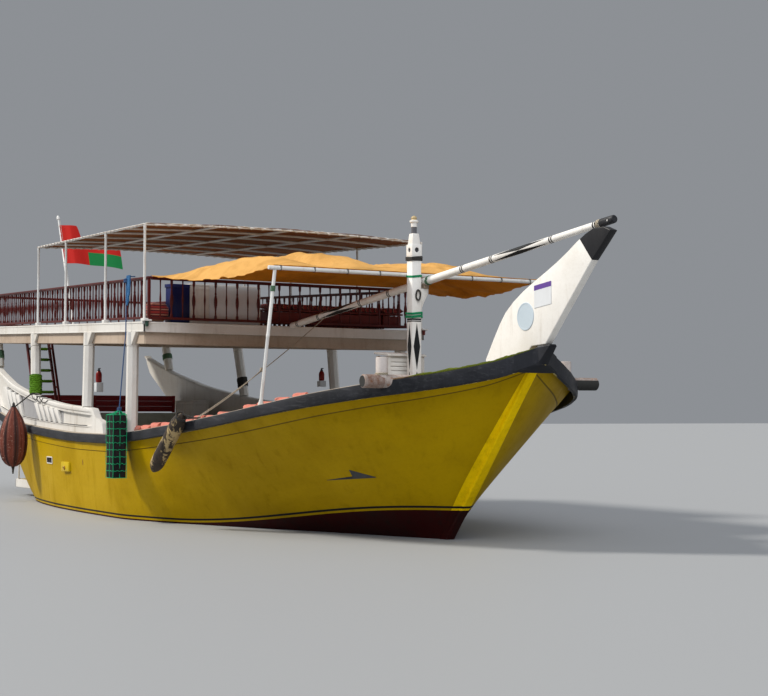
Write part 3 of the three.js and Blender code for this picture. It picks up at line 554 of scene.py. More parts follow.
def grain(tree, given):
    """Timber's grain along the axis that Stretch makes long."""
    place = stretched(object_place(tree), given["Stretch"])
    rings = speckle(place, given["Scale"], 8, 0.7, 1.2)
    pores = speckle(place, given["Scale"] * 6.0, 4, 0.6)
    share = ramp(rings, 0.3, 0.7) * 0.75 + pores * 0.25
    return {"Color": mixed(share, given["Light"], given["Dark"]), "Height": 1.0 - share}


def planks(tree, given):
    """Seams between planks across one coordinate, and a tone for each plank."""
    turn = given["Across"] / given["Width"]
    away = 0.5 - abs(turn.calc("FRACT", turn) - 0.5)
    tone = wire(tree, "ShaderNodeTexWhiteNoise", noise_dimensions="1D",
                named={"W": turn.calc("FLOOR", turn)})[0]
    return {"Seam": 1.0 - ramp(away, 0.0, given["Seam"]), "Tone": tone}


def woven(tree, given):
    """Woven cloth on a chart in metres, with stains and creases; the weave is darkened between threads as
    painted shade.
    """
    place, chart = object_place(tree), chart_of(tree)
    warp, weft = [at.calc("SINE", at * given["Threads"]) for at in chart[:2]]
    weave = (warp * weft + 1.0) * 0.5
    crease = speckle(stretched(place, (1.0, 0.5, 1.0)), 2.4, 5, 0.55, 1.0)
    share = ramp(speckle(place, 0.9, 7, 0.65, 0.6), 0.4, 0.75) * given["Stains"]
    colour = mixed(share, given["Cloth"], given["Worn"])
    return {"Color": mixed(weave * 0.18, colour, (0.02, 0.015, 0.01)),
            "Roughness": 0.82 + share * 0.15, "Height": weave * 0.08 + crease}


def lay_of_rope(tree, given):
    """A rope's strands on a chart in metres, along and around; the Hollow colour is painted shade in the
    hollows between strands.
    """
    chart = chart_of(tree)
    slant = chart[0] * given["Turns"] + chart[1] * (given["Turns"] * 1.4)
    wave = slant.calc("SINE", slant * pi)
    strand = abs(wave)
    share = ramp(strand, 0.0, 0.7) * (0.6 + speckle(object_place(tree), 60, 5, 0.7) * 0.5)
    return {"Color": mixed(share, given["Hollow"], given["Rope"]), "Height": strand}


def lozenge(tree, given):
    """A long diamond: 1 inside, 0 outside."""
    share = 1.0 - abs(given["Along"] - given["Middle"]) / given["Reach"]
    return {"Mask": ramp(share * given["Half"] - given["Across"], 0.0, 0.002)}


def band(tree, given):
    """A band between two distances: 1 inside, 0 outside."""
    return {"Mask": (given["Along"] > given["From"]) * (given["Along"] < given["To"])}


WEATHER = new_group("weathered paint", {
    "Paint": (0.8, 0.8, 0.8, 1), "Grime": (0.3, 0.28, 0.25, 1), "Fading": 0.3, "Streaks": 0.3, "Chips": 0.1,
    "Bared": (0.35, 0.3, 0.25, 1), "Rough": 0.4, "Scale": 1.0}, weather)
GRAIN = new_group("timber grain", {
    "Light": (0.5, 0.35, 0.2, 1), "Dark": (0.2, 0.12, 0.06, 1), "Stretch": (0.5, 9, 9), "Scale": 1.0}, grain)
PLANKS = new_group("plank seams", {"Across": 0.0, "Width": 0.15, "Seam": 0.03}, planks)
CLOTH = new_group("woven cloth", {
    "Cloth": (0.6, 0.4, 0.2, 1), "Worn": (0.5, 0.35, 0.2, 1), "Threads": 260.0, "Stains": 0.4}, woven)
LAY = new_group("rope lay", {
    "Rope": (0.3, 0.25, 0.2, 1), "Hollow": (0.08, 0.06, 0.05, 1), "Turns": 22.0}, lay_of_rope)
LOZENGE = new_group("lozenge", {
    "Along": 0.0, "Across": 0.0, "Middle": 0.0, "Reach": 0.5, "Half": 0.05}, lozenge)
BAND = new_group("painted band", {"Along": 0.0, "From": 0.0, "To": 1.0}, band)


def use(tree, group, **values):
    """Places a group and gives its outputs by name."""
    made = wire(tree, "ShaderNodeGroup", node_tree=group, named=values)
    return {value.socket.name: value for value in made}


def weathered(tree, *values):
    """The weathered paint group: paint, grime, fading, streaks, chips, bared, rough and scale."""
    names = ("Paint", "Grime", "Fading", "Streaks", "Chips", "Bared", "Rough", "Scale")
    return use(tree, WEATHER, **dict(zip(names, values)))


def bands_over(colour, along, bands):
    """Paints bands over a colour: each is (from, to, paint)."""
    for low, high, shade in bands:
        colour = mixed(use(along.tree, BAND, Along=along, From=low, To=high)["Mask"], colour, shade)
    return colour


def new_material(name, **shader_values):
    material = bpy.data.materials.new(name)
    material.use_nodes = True
    shader = material.node_tree.nodes["Principled BSDF"]
    shader.inputs["Specular IOR Level"].default_value = 0.22
    for label, value in shader_values.items():
        shader.inputs[label.replace("_", " ")].default_value = value
    return material, material.node_tree


def surface(material, colour, coarse=None, height=None, bump=0.2, distance=0.01):
    """Feeds the shader's colour, roughness and bumped normal, and gives the material."""
    tree = material.node_tree
    shader = tree.nodes["Principled BSDF"]
    feeds = {"Base Color": colour, "Roughness": coarse}
    if height is not None:
        feeds["Normal"] = wire(tree, "ShaderNodeBump", named={
            "Strength": bump, "Distance": distance, "Height": height})[0]
    for label, value in feeds.items():
        if value is not None:
            tree.links.new(value.socket, shader.inputs[label])
    return material


def surface_of(material, base, bump, distance=0.01, colour=None, height=None):
    """A surface with a group's outputs, but for what is given instead."""
    return surface(material, colour or base["Color"], base.get("Roughness"), height or base["Height"],
                   bump, distance)


def paint(name, colour, grime, fading=0.3, streaks=0.3, chips=0.1, bared=(0.3, 0.25, 0.2), coarse=0.35,
          scale=1.0, **shader_values):
    material, tree = new_material(name, **shader_values)
    base = weathered(tree, colour, grime, fading, streaks, chips, bared, coarse, scale)
    return surface_of(material, base, 0.25)


def timber(name, light, dark, stretch=(0.5, 9, 9)):
    material, tree = new_material(name, Roughness=0.6)
    return surface_of(material, use(tree, GRAIN, Light=light, Dark=dark, Stretch=stretch, Scale=1.0), 0.3)


def rope(name, colour, hollow, turns=22.0):
    material, tree = new_material(name, Roughness=0.85)
    return surface_of(material, use(tree, LAY, Rope=colour, Hollow=hollow, Turns=turns), 0.6, 0.004)


BLACK, BOOT_RED = (0.012, 0.013, 0.014), (0.035, 0.003, 0.003)
WALE_DROP = 0.407


def hull_material(name, yellow_paint, seams=1.0, chips=0.04):
    """Yellow topsides with plank seams, the boot line along its rising curve and the red bottom."""
    material, tree = new_material(name, Specular_IOR_Level=0.05)
    chart, place = chart_of(tree), parts(object_place(tree))
    yellow = weathered(tree, yellow_paint, (0.23, 0.135, 0.0), 0.45, 0.3, chips, (0.2, 0.12, 0.05), 0.45, 0.9)
    boards = use(tree, PLANKS, Across=chart[1], Width=0.21, Seam=0.02)
    seamed = mixed(boards["Seam"] * (0.12 * seams), yellow["Color"], (0.1, 0.07, 0))
    toned = mixed(boards["Tone"] * (0.1 * seams), seamed, (0.42, 0.3, 0.0))
    wale = 1.0 - ramp(abs(chart[1] - WALE_DROP), 0.004, 0.014)
    lined = mixed(wale * (0.75 * seams), toned, (0.05, 0.035, 0.01))
    above = place[2] - ramp(place[0], 2.2, 9.2, 0.1, 0.64)
    booted = mixed(1.0 - ramp(abs(above), 0.018, 0.024), lined, BLACK)
    red = weathered(tree, BOOT_RED, (0.018, 0.01, 0.008), 0.6, 0.5, 0.22, (0.35, 0.22, 0.03), 0.55, 1.6)
    colour = mixed(1.0 - ramp(above, -0.066, -0.06), booted, red["Color"])
    height = yellow["Height"] - boards["Seam"] * (0.35 * seams)
    return surface_of(material, yellow, 0.18, 0.012, colour, height)


def strake_material():
    """Black strake, scuffed grey on its face, chipped to yellow along its lower edge."""
    material, tree = new_material("strake_black")
    place = object_place(tree)
    base = weathered(tree, (0.008, 0.009, 0.012), (0.03, 0.032, 0.04), 0.7, 0.35, 0.15, (0.16, 0.15, 0.14),
                     0.5, 2.2)
    rub = speckle(stretched(place, (0.5, 3, 6)), 3.2, 8, 0.72, 0.5)
    scuffed = mixed(ramp(rub, 0.5, 0.72) * 0.6, base["Color"], (0.065, 0.066, 0.073))
    edge = 1.0 - ramp(chart_of(tree)[1], 0.03, 0.09)
    bare = ramp(edge * speckle(place, 7, 8, 0.75), 0.55, 0.6)
    worn = mixed(bare, scuffed, (0.45, 0.36, 0.12))
    return surface_of(material, base, 0.45, 0.012, worn, base["Height"] + rub)


HULL_YELLOW, STRAKE = hull_material("hull_yellow", (0.44, 0.28, 0.0)), strake_material()
# The stem's band is a brighter yellow than the hull: a painted highlight standing in for the light it catches.
STEM_PAINTED_HIGHLIGHT = hull_material("stem_yellow_painted_highlight", (0.95, 0.64, 0.0), 0.0, -1.5)
WHITE = paint("white_gloss", (0.74, 0.715, 0.67), (0.42, 0.37, 0.3), 0.3, 0.35, 0.05, (0.3, 0.24, 0.18))
PIPE_WHITE = paint("white_pipe", (0.74, 0.74, 0.72), (0.4, 0.34, 0.28), 0.3, 0.4, 0.12,
                   (0.22, 0.12, 0.07), 0.35, 2.0)
# Beams under the upper deck: white paint given a darker tan-brown base as painted shade from the deck above,
# with weathering over it.
BEAM_WHITE_PAINTED_SHADE = paint("beam_white_painted_shade", (0.5, 0.4, 0.31), (0.26, 0.18, 0.12), 0.5, 0.4, 0.08, coarse=0.5)
MAROON = paint("maroon_gloss", (0.09, 0.009, 0.007), (0.04, 0.01, 0.008), 0.4, 0.3, 0.1,
               (0.3, 0.12, 0.07), 0.35, 3.0)
YELLOW = paint("trim_yellow", (0.6, 0.42, 0.0), (0.32, 0.22, 0.02), 0.35, 0.35, 0.1, (0.2, 0.12, 0.05))
CEILING = paint("pale_green_ceiling", (0.5, 0.54, 0.47), (0.3, 0.28, 0.22), 0.4, 0.4, 0.1, coarse=0.5)
CAP_WOOD = paint("rail_cap_faded", (0.4, 0.34, 0.27), (0.18, 0.15, 0.11), 0.6, 0.3, 0.3,
                 (0.55, 0.5, 0.42), 0.6, 2.0)
BOOT = paint("bottom_red", BOOT_RED, (0.02, 0.012, 0.008), 0.6, 0.5, 0.15, (0.2, 0.15, 0.08), 0.6)
STRAKE_PLAIN = paint("black_worn", (0.018, 0.019, 0.022), (0.09, 0.09, 0.1), 0.6, 0.3, 0.2, (0.3, 0.28, 0.25),
                     0.45, 3.0)
NOSE_BLACK = paint("nose_black", (0.007, 0.008, 0.011), (0.024, 0.026, 0.033), 0.7, 0.4, 0.1,
                   (0.16, 0.15, 0.14), 0.45, 2.2)
BRONZE = paint("bronze_worn", (0.45, 0.27, 0.09), (0.1, 0.13, 0.09), 0.5, 0.2, 0.1, scale=4.0, Metallic=0.85)
# Grey for the wings' recessed panels behind the ribs: painted shade on white paint.
PANEL_PAINTED_SHADE = paint("panel_white_painted_shade", (0.36, 0.36, 0.37), (0.26, 0.24, 0.22), 0.3, 0.4, 0.05, coarse=0.4)
PANEL_WHITE = paint("panel_white", (0.7, 0.72, 0.74), (0.5, 0.5, 0.5), 0.2, 0.2, 0.02, coarse=0.3)
PURPLE = paint("panel_purple", (0.13, 0.06, 0.3), (0.1, 0.07, 0.2), 0.3, 0.2, 0.02)
DISC_BLUE = paint("disc_pale", (0.52, 0.6, 0.66), (0.36, 0.45, 0.52), 0.35, 0.2, 0.02)
BOLLARD_WHITE = paint("bollard_white", (0.55, 0.5, 0.47), (0.26, 0.18, 0.15), 0.6, 0.9, 0.4, (0.3, 0.2, 0.14),
                      0.5, 3.0)
STERN_RED = paint("maroon_stern", (0.3, 0.022, 0.025), (0.12, 0.02, 0.02), 0.3, 0.3, 0.1, (0.3, 0.12, 0.07),
                  0.45, 3.0)
MAROON_WOOD = paint("maroon_bench", (0.16, 0.02, 0.015), (0.07, 0.02, 0.015), 0.4, 0.3, 0.15,
                    (0.3, 0.14, 0.08), 0.45, 3.0)
NAVY = paint("box_navy", (0.006, 0.012, 0.09), (0.03, 0.035, 0.07), 0.4, 0.3, 0.1, (0.1, 0.1, 0.12), 0.4, 2.0)
RUBBER_DARK = paint("rubber_scuffed", (0.007, 0.007, 0.008), (0.03, 0.028, 0.027), 0.5, 0.4, 0.3,
                    (0.14, 0.13, 0.12), 0.6, 3.0, Specular_IOR_Level=0.1)
RED_GLOSS = paint("red_gloss", (0.26, 0.012, 0.01), (0.1, 0.012, 0.01), 0.25, 0.2, 0.05,
                  coarse=0.25, scale=3.0)
ENGINE_GREEN = paint("engine_green", (0.06, 0.16, 0.1), (0.03, 0.04, 0.03), 0.5, 0.3, 0.2,
                     coarse=0.45, scale=3.0)
GLASS_DARK = paint("pane_dark", (0.02, 0.022, 0.025), (0.05, 0.05, 0.05), 0.3, 0.2, 0.02, coarse=0.15)
RAW_WOOD = timber("weathered_timber", (0.42, 0.33, 0.25), (0.16, 0.12, 0.09))
DECK_WOOD_GREY = timber("upper_deck_timber", (0.4, 0.33, 0.26), (0.2, 0.16, 0.12))
BARE_WOOD = timber("bare_cracked_wood", (0.42, 0.27, 0.14), (0.14, 0.08, 0.05), (0.5, 14, 14))
MOSS = rope("moss_fringe", (0.16, 0.19, 0.015), (0.05, 0.06, 0.01), 90)
ROPE_GREEN = rope("rope_green", (0.12, 0.22, 0.13), (0.02, 0.05, 0.03))
ROPE_DARK = rope("rope_dark", (0.06, 0.055, 0.05), (0.01, 0.01, 0.01))
ROPE_PALE = rope("rope_pale", (0.5, 0.44, 0.34), (0.16, 0.12, 0.08))
ROPE_BLUE = rope("rope_blue", (0.06, 0.12, 0.25), (0.01, 0.02, 0.06))
ROPE_SKY = rope("rope_sky", (0.06, 0.2, 0.42), (0.01, 0.04, 0.1))
CORD_WHITE = rope("cord_white", (0.66, 0.64, 0.58), (0.25, 0.22, 0.18), 40)
MAST_GREEN = rope("mast_green", (0.01, 0.33, 0.13), (0.005, 0.1, 0.05))
TURF_GREEN = rope("turf_green", (0.13, 0.3, 0.012), (0.03, 0.08, 0.006), 60)
NET_GREEN = rope("net_green", (0.01, 0.42, 0.17), (0.01, 0.12, 0.06), 30)


# Hull
def hull_row(s):
    """Half of one hull section, from the rail down to the keel, with each point's place on the chart."""
    top = rail_top(rail_x(s))
    drops = [0.02, 0.12, 0.22, 0.31, WALE_DROP - 0.009, WALE_DROP, WALE_DROP + 0.009]
    drops += [between(0.416, top, (i / 13) ** 0.9) for i in range(1, 14)]
    points, chart = [], []
    for drop in drops:
        out = 0.012 if drop < 0.4 else (-0.006 if drop < 0.41 else 0.0)
        points.append(topside(s, 1 - drop / top, out))
        chart.append((rail_x(s), drop))
    for t in (0.93, 0.85, 0.76, 0.66, 0.55, 0.43, 0.3, 0.17, 0.06, 0.02):
        points.append(underside(s, t))
        chart.append((rail_x(s), top + (1 - t) * 1.5))
    return points, chart


def inner_point(s, v, side):
    p = topside(s, v)
    shift = 0.16 * 1.42 * clamp(1 - s)
    return Vector((p.x + shift, side * max(0.03, p.y - 0.18), p.z))


def make_hull():
    rows, charts = [], []
    for i in range(LAST * 9 + 1):
        points, chart = hull_row(i / 9)
        rows.append([Vector((p.x, -p.y, p.z)) for p in points] + points[::-1])
        charts.append(chart + chart[::-1])
    outer = painted(skin(rows, chart=charts), HULL_YELLOW)
    points, _ = hull_row(0)
    across = [[(p.x - 0.004, between(-p.y, p.y, i / 16), p.z) for i in range(17)] for p in points]
    stern = painted(skin(across), HULL_YELLOW)
    piece_is(joined([outer, stern]), "hull_planking", None, node="hull", smooth=0.5)
    linings = []
    for side, _ in SIDES:
        rows = []
        for i in range(LAST * 6 - 3):
            s = i / 6
            top = rail_top(rail_x(s))
            rows.append([inner_point(s, between(1 - 0.02 / top, 1.1 / top, j / 6), side) for j in range(7)])
        linings.append(painted(skin(rows), CEILING))
    top = rail_top(rail_x(0))
    board = skin([[between(inner_point(0, v, -1), inner_point(0, v, 1), i / 8) for i in range(9)]
                  for v in [between(1 - 0.02 / top, 1.1 / top, j / 4) for j in range(5)]])
    piece_is(joined([*linings, painted(board, CEILING)]), "hull_ceiling", None)


def make_rails():
    for side, name in SIDES:
        cap, strake = [], []
        for i in range(LAST * 7 + 1):
            x = rail_x(i / 7)
            half, top = rail_half(x), rail_top(x)
            inner, wide = max(0.004, half - 0.2), max(0.012, half + 0.03)
            cap.append([(x, side * y, top - drop) for y, drop in (
                (wide - 0.006, 0.034), (wide, 0.026), (wide, 0.008), (wide - 0.008, 0), (inner + 0.008, 0),
                (inner, 0.008), (inner, 0.034))])
            low = 0.22 + 0.09 * clamp((x - 7) / 5)
            wobble = 0.004 * sin(x * 5.1) + 0.003 * sin(x * 13.7 + 1)
            nose = 0 if x < 11.9 else 0.015
            edge = ((-0.02, low), (0.05, low), (0.072, low - 0.018), (0.08, low - 0.06), (0.08, 0.06),
                    (0.07, 0.024), (0.05, 0.013), (-0.02, 0.013))
            strake.append([(x + nose, side * max(0, half + y + wobble * (y > 0.03)), top - drop)
                           for y, drop in edge])
        piece_is(skin(cap, ring=True, ends=True), f"rail_cap_{name}", CAP_WOOD)
        piece_is(skin(strake, ring=True, ends=True), f"rubbing_strake_{name}", STRAKE,
                 node=f"rub_rail_{name}")


def make_rail_growth():
    """Bare cracked wood, then a fringe of moss, along the starboard rail's top."""
    for x0, x1, name, material, high in ((9.86, 10.62, "rail_bare_wood", BARE_WOOD, 0.014),
                                         (10.4, 11.9, "rail_moss", MOSS, 0.05)):
        rows = []
        count = round((x1 - x0) / 0.02)
        for i in range(count + 1):
            x = between(x0, x1, i / count)
            half, top = rail_half(x) + 0.05, rail_top(x)
            shag = 0.5 + 0.5 * rough(x * 9, 0.3, 1.1) + 0.3 * rough(x * 31, 2.3, 1.1)
            up = 0.004 + high * clamp(shag) * clamp(min(i, count - i) / 8)
            wide = 0.1 + 0.04 * rough(x * 4, 5.0, 0)
            rows.append([(x, -(half - out), top + z) for out, z in (
                (0, -0.016), (-0.012, 0.0), (0.0, up * 0.8), (wide * 0.4, up), (wide, up * 0.7),
                (wide + 0.02, -0.016))])
        piece_is(skin(rows, ring=True, ends=True), name, material, smooth=0.9)


make_hull()
make_rails()
make_rail_growth()


# Stem, keel, rudder and propeller
stem_foot = curve_through([-1.4, -1.26, -1.0, -0.64, 0], [6.3, 7.4, 8.1, 8.56, 8.95])


def make_stem():
    rows = []
    for i in range(30):
        z = between(3.22, -0.95, i / 29)
        front = 8.95 + 0.873 * z if z > 0 else stem_foot(z)
        deep = between(0.17, 0.11, clamp(z / 3.5))
        shares = (1, 0.75, 0.5, 0.25)
        halves = (0.17, 0.15, 0.12, 0.1)
        if z > 0.05:
            halves = [on_hull(front - deep * k, z, 1, 0.022).y for k in shares]
        side = [(front - deep * k, max(y, 0.09)) for k, y in zip(shares, halves)]
        side += [(front - 0.015, 0.085), (front, 0.07)]
        port = [(between(front, x, 0.4), between(0.07, y, 0.4)) for x, y in side]
        rows.append([(x, y, z) for x, y in port] + [(x, -y, z) for x, y in reversed(side)])
    piece_is(skin(rows, ring=True, ends=True), "stem_timber", STEM_PAINTED_HIGHLIGHT)
    rows = []
    for x in (11.72, 11.8, 11.88, 11.94, 12.0, 12.06, 12.12, 12.18, 12.22, 12.235):
        forward = clamp((x - 11.94) / 0.3)
        low = between(rail_top(min(x, 11.94)) - 0.315, 3.55, forward)
        top = between(rail_top(min(x, 11.94)) + 0.006, 3.6, forward) - (0.015 if x > 12.23 else 0)
        half = max(rail_half(min(x, 11.95)) + 0.083, 0.1) * between(1, 0.72, forward)
        rows.append([(x, y * half, z) for y, z in (
            (1, low + 0.02), (1, top - 0.025), (0.8, top), (-0.8, top), (-1, top - 0.025), (-1, low + 0.02),
            (-0.7, low), (0.7, low))])
    piece_is(skin(rows, ring=True, ends=True), "strake_nose", NOSE_BLACK)


def make_keel():
    low = [slab(x0, x1, -0.09, 0.09, z0, z1) for x0, x1, z0, z1 in (
        (-7.7, 7.6, -1.45, -0.25), (-8.56, -8.3, -1.48, -0.25), (-8.95, -7.7, -1.55, -1.44),
        (-8.3, -7.7, -0.56, -0.25))]
    rise = prism(lambda end, y, k: (end[0], y, end[1 + k]), ((7.55, -1.24, -0.25), (8.5, -0.7, 0.0)),
                 (-0.09, 0.09), (0, 1))
    piece_is(timbers([*low, rise], 0.02, 2), "keel", BOOT)
    blade = plate([(-8.66, -1.43), (-9.43, -1.39), (-9.49, -0.6), (-9.4, -0.53), (-8.66, -0.49)], 0.075,
                  lambda u, v, d: (u, d, v), 0.02, 3)
    stock = turned((-8.65, 0, -1.47), (-8.65, 0, -0.47), [
        (0, 0.045), (0.06, 0.045), (0.08, 0.058), (0.97, 0.058), (1.0, 0.05)], 16)
    straps = [turned((-8.65, 0, z), (-8.65, 0, z + 0.07), [(0, 0.066), (0.07, 0.066)], 16)
              for z in (-1.2, -0.75)]
    piece_is(joined([blade, stock, *straps]), "rudder_blade", BOOT, "rudder", "rudder")


def make_propeller():
    pieces = [turned((-8.14, 0, -0.985), (-7.7, 0, -0.985), [
        (0, 0.02), (0.03, 0.05), (0.08, 0.075), (0.3, 0.08), (0.44, 0.07)], 20)]
    for i in range(4):
        turn = Matrix.Translation((-7.99, 0, -0.985)) @ Matrix.Rotation(i * pi / 2, 4, "X")
        rows = []
        for r, chord in ((0.05, 0.1), (0.1, 0.15), (0.17, 0.21), (0.25, 0.24), (0.32, 0.21), (0.37, 0.13),
                         (0.393, 0.04)):
            pitch = atan2(0.17, r)
            thick = 0.011 * (1.15 - r / 0.4)
            row = []
            for a in angles(12):
                c, t = chord / 2 * cos(a), thick * sin(a)
                row.append(turn @ Vector((c * sin(pitch) + t * cos(pitch) - 0.03 * r,
                                          c * cos(pitch) - t * sin(pitch), r)))
            rows.append(row)
        pieces.append(skin(rows, ring=True, ends=True))
    piece_is(joined(pieces), "propeller_bronze", BRONZE, "propeller", "propeller")


make_stem()
make_keel()
make_propeller()


# Stern wings
RIB_PLACES = (-4.32, -4.84, -5.36, -5.88, -6.4, -8.5, -9.02, -9.54, -10.06)
SCROLL = (-0.58, -0.6, -0.62, -0.64, -0.67, -0.7, -0.74, -0.8, -0.9, -1.0, -1.08, -1.14, -1.18, -1.21, -1.24,
          -1.27, -1.3, -1.33, -1.37, -1.42, -1.47, -1.52, -1.58, -1.62)
fin_low = curve_through([-13.52, -13.3, -12.87, -12.3, -11.5], [4.23, 3.82, 3.47, 3.05, 2.5])
scroll_top = curve_through([-1.62, -1.36, -1.28, -1.2, -1.1, -0.9, -0.72, -0.64, -0.58],
                           [2.6, 2.545, 2.44, 2.33, 2.295, 2.28, 2.235, 2.1, 1.96])


def wing_foot(x):
    return rail_top(x) + 0.002 if x >= -11.5 else fin_low(x)


def wing_section(x):
    """Half of a wing board's outline across the boat: foot, ledge, recessed panel and rounded cap."""
    half, low = wing_half(x) - 0.02, wing_foot(x)
    top = max(wing_top(x), low + 0.13)
    if x > SCROLL[-1]:
        top = min(top, scroll_top(x))
    tall = top - low
    whole = clamp((-1.5 - x) / 0.35)
    ledge, cap = low + min(0.16, 0.35 * tall), min(0.18, 0.34 * tall)
    out, back = 0.072 * whole, 0.042 * whole
    return [(half + shift, z) for shift, z in (
        (0, low), (0, ledge - 0.015), (0.02 * whole, ledge - 0.012), (0.02 * whole, ledge + 0.008),
        (-back, ledge + 0.012), (-back, top - cap), (out * 0.45, top - cap + 0.004),
        (out * 0.5, top - cap * 0.62), (out * 0.85, top - cap * 0.56), (out, top - cap * 0.36),
        (out * 0.9, top - cap * 0.1), (out * 0.6, top), (-0.13, top), (-0.155, top - 0.02 * whole - 0.004),
        (-0.16, top - cap * 0.4), (-0.09, top - cap * 0.45), (-0.09, low))]


def make_wings():
    places = [*SCROLL, -1.74, -1.86, -2.08, *[-2.08 - 0.3 * i for i in range(1, 38)], -13.3, -13.42, -13.52]
    for side, name in SIDES:
        board = skin([[(x, side * y, z) for y, z in wing_section(x)] for x in places], ring=True, ends=True)
        ribs = []
        for x in RIB_PLACES:
            half, low = wing_half(x) - 0.02, wing_foot(x)
            z0, z1 = low + 0.16, wing_top(x) - 0.14
            lean = 0.12 + 0.5 * (z1 - z0)
            ribs.append([(x + px, side * (half + py), pz) for px, py, pz in (
                (-0.1, -0.04, z0), (-lean - 0.17, -0.04, z1), (-0.1, 0.03, z0), (-lean - 0.15, 0.052, z1),
                (0.1, -0.04, z0), (-lean + 0.15, -0.04, z1), (0.1, 0.03, z0), (-lean + 0.15, 0.052, z1))])
        piece_is(joined([board, timbers(ribs, 0.012, 2)]), f"wing_{name}", WHITE,
                 node=f"stern_wing_{name}")
        # A thin black strip along each ledge's top, under the recessed panel: a painted shadow line.
        shadow_line_corner = lambda x, out, up: (x, side * (wing_half(x) - 0.02 + out), wing_section(x)[3][1] + up)
        panel_corner = lambda x, out, k: (x, side * (wing_half(x) - 0.02 - 0.042 + out),
                                          wing_section(x)[4 + k][1] + (0.012, -0.004)[k])
        runs = list(zip(places, places[1:]))
        seam = [prism(shadow_line_corner, run, (0.01, 0.024), (0.002, 0.018)) for run in runs
                if -11.6 < run[1] and run[0] < -1.84]
        # Grey sheets in the recessed panels behind the ribs: painted shade.
        shaded = [prism(panel_corner, run, (-0.01, 0.004), (0, 1)) for run in runs
                  if -10.75 < run[1] and run[0] < -4.0]
        piece_is(timbers(seam, 0.0), f"wing_painted_shadow_line_{name}", STRAKE_PLAIN)
        piece_is(timbers(shaded, 0.0), f"wing_painted_shade_panels_{name}", PANEL_PAINTED_SHADE)


make_wings()


# Columns between the rails and the upper deck
COLUMNS = (  # name, foot x and half width, head x and half width, height of the ring
    ("column_1", 1.16, 3.52, 1.16, 3.5, 3.93), ("column_2", -2.07, 3.435, -2.21, 3.355, 4.08),
    ("column_3", -7.23, 3.14, -7.6, 3.04, 4.32), ("column_4", -12.15, 2.75, -12.5, 2.73, 4.62))
LAPS = {"column_4_starboard": (4.1, 4.34, ROPE_GREEN), "column_3_port": (3.24, 3.5, ROPE_DARK),
        "column_4_port": (4.2, 4.36, ROPE_GREEN)}


def lashing(start, end, radius, material, name, thick=0.012, body="boat"):
    """Turns of rope round a post."""
    start, end = Vector(start), Vector(end)
    _, side, over = axes_of(start, end)
    turns = max(2, round((end - start).length / (thick * 2)))
    points = []
    for i, a in enumerate(angles(14, over=turns * 14 - 13)):
        wander = 1 + 0.02 * sin(i * 0.37) + 0.015 * sin(i * 1.13)
        points.append(start.lerp(end, i / (turns * 14)) + (side * cos(a) + over * sin(a)) * radius * wander)
    return piece_is(tube(points, thick * 1.06, 6), name, material, body)


def eased(points, reach=0.06):
    """The points of a rope's run, with each corner rounded over that reach."""
    made = [points[0]]
    for a, b, c in zip(points, points[1:], points[2:]):
        start = b + (a - b).normalized() * min(reach, (a - b).length / 2)
        end = b + (c - b).normalized() * min(reach, (c - b).length / 2)
        made += [start.lerp(b, t).lerp(b.lerp(end, t), t) for t in (0, 0.25, 0.5, 0.75, 1)]
    return [*made, points[-1]]


def fast_cord(piece, points):
    """Works out a rope's length along its points; nothing more is done with it."""
    long = sum((b - a).length for a, b in zip(points, points[1:]))


def working_rope(points, radius, name, material):
    fast_cord(piece_is(tube(points, radius, 8), name, material), points)


def turf_wrap(start, end, radius, name, thick=0.02, tufts=1.0):
    """Shaggy green matting wound round a post."""
    start, end = Vector(start), Vector(end)
    along = end - start
    _, side, over = axes_of(start, end)
    rows, down = [], max(12, round(along.length / 0.012))
    for i in range(down + 1):
        share = i / down
        core, full = (0.9, 0.75) if i in (0, down) else (1, 1.0)
        row = []
        for a in angles(48):
            shag = rough(cos(a) * 7, sin(a) * 7, share * along.length * 34)
            ridge = 0.5 + 0.5 * sin(share * along.length / 0.055 * 2 * pi + a)
            reach = radius * core + thick * full * (0.7 + 0.4 * ridge + 0.9 * tufts * shag)
            row.append(start + along * share + (side * cos(a) + over * sin(a)) * reach)
        rows.append(row)
    return piece_is(skin(rows, ring=True, ends=True), name, TURF_GREEN, smooth=0.9)


def make_columns():
    r = 0.127 / cos(pi / 8)
    for column_name, foot_x, foot_half, top_x, top_half, ring_z in COLUMNS:
        for side, name in SIDES:
            low = (rail_top(foot_x) if foot_x > 0 else wing_top(foot_x)) + 0.001
            foot = Vector((foot_x, side * foot_half, low))
            head = Vector((top_x, side * top_half, upper_top(top_x) - FASCIA - 0.004))
            long, seam = (head - foot).length, ring_z - low
            shaft = bevelled(turned(foot, head, [
                (0, r), (seam - 0.012, r), (seam - 0.008, r - 0.012), (seam + 0.002, r - 0.012),
                (seam + 0.006, r + 0.006), (long, r + 0.006)], 8), 0.006, 1)
            full = f"{column_name}_{name}"
            piece_is(shaft, f"octagonal_{full}", WHITE, node=full, smooth=0.3)
            at = lambda z: foot.lerp(head, (z - foot.z) / (head.z - foot.z))
            tall = head.z - ring_z - 0.03
            gusset = plate([(0.1, -0.004), (0.1, -tall), (0.14, -tall), (0.42, -0.004)], 0.1,
                           lambda u, v, d: at(head.z) + Vector((u, d + side * 0.04, v)), 0.006, 1)
            piece_is(gusset, f"gusset_{full}", WHITE)
            if full in LAPS:
                z0, z1, material = LAPS[full]
                lashing(at(z0), at(z1), r + 0.008, material, f"lashing_{full}", 0.014)
            if full == "column_3_starboard":
                turf_wrap(at(2.97), at(3.5), r - 0.004, "turf_wrap_column", 0.034)


make_columns()


# Upper deck
HATCH = (-9.83, -8.95, -2.83, -1.97)


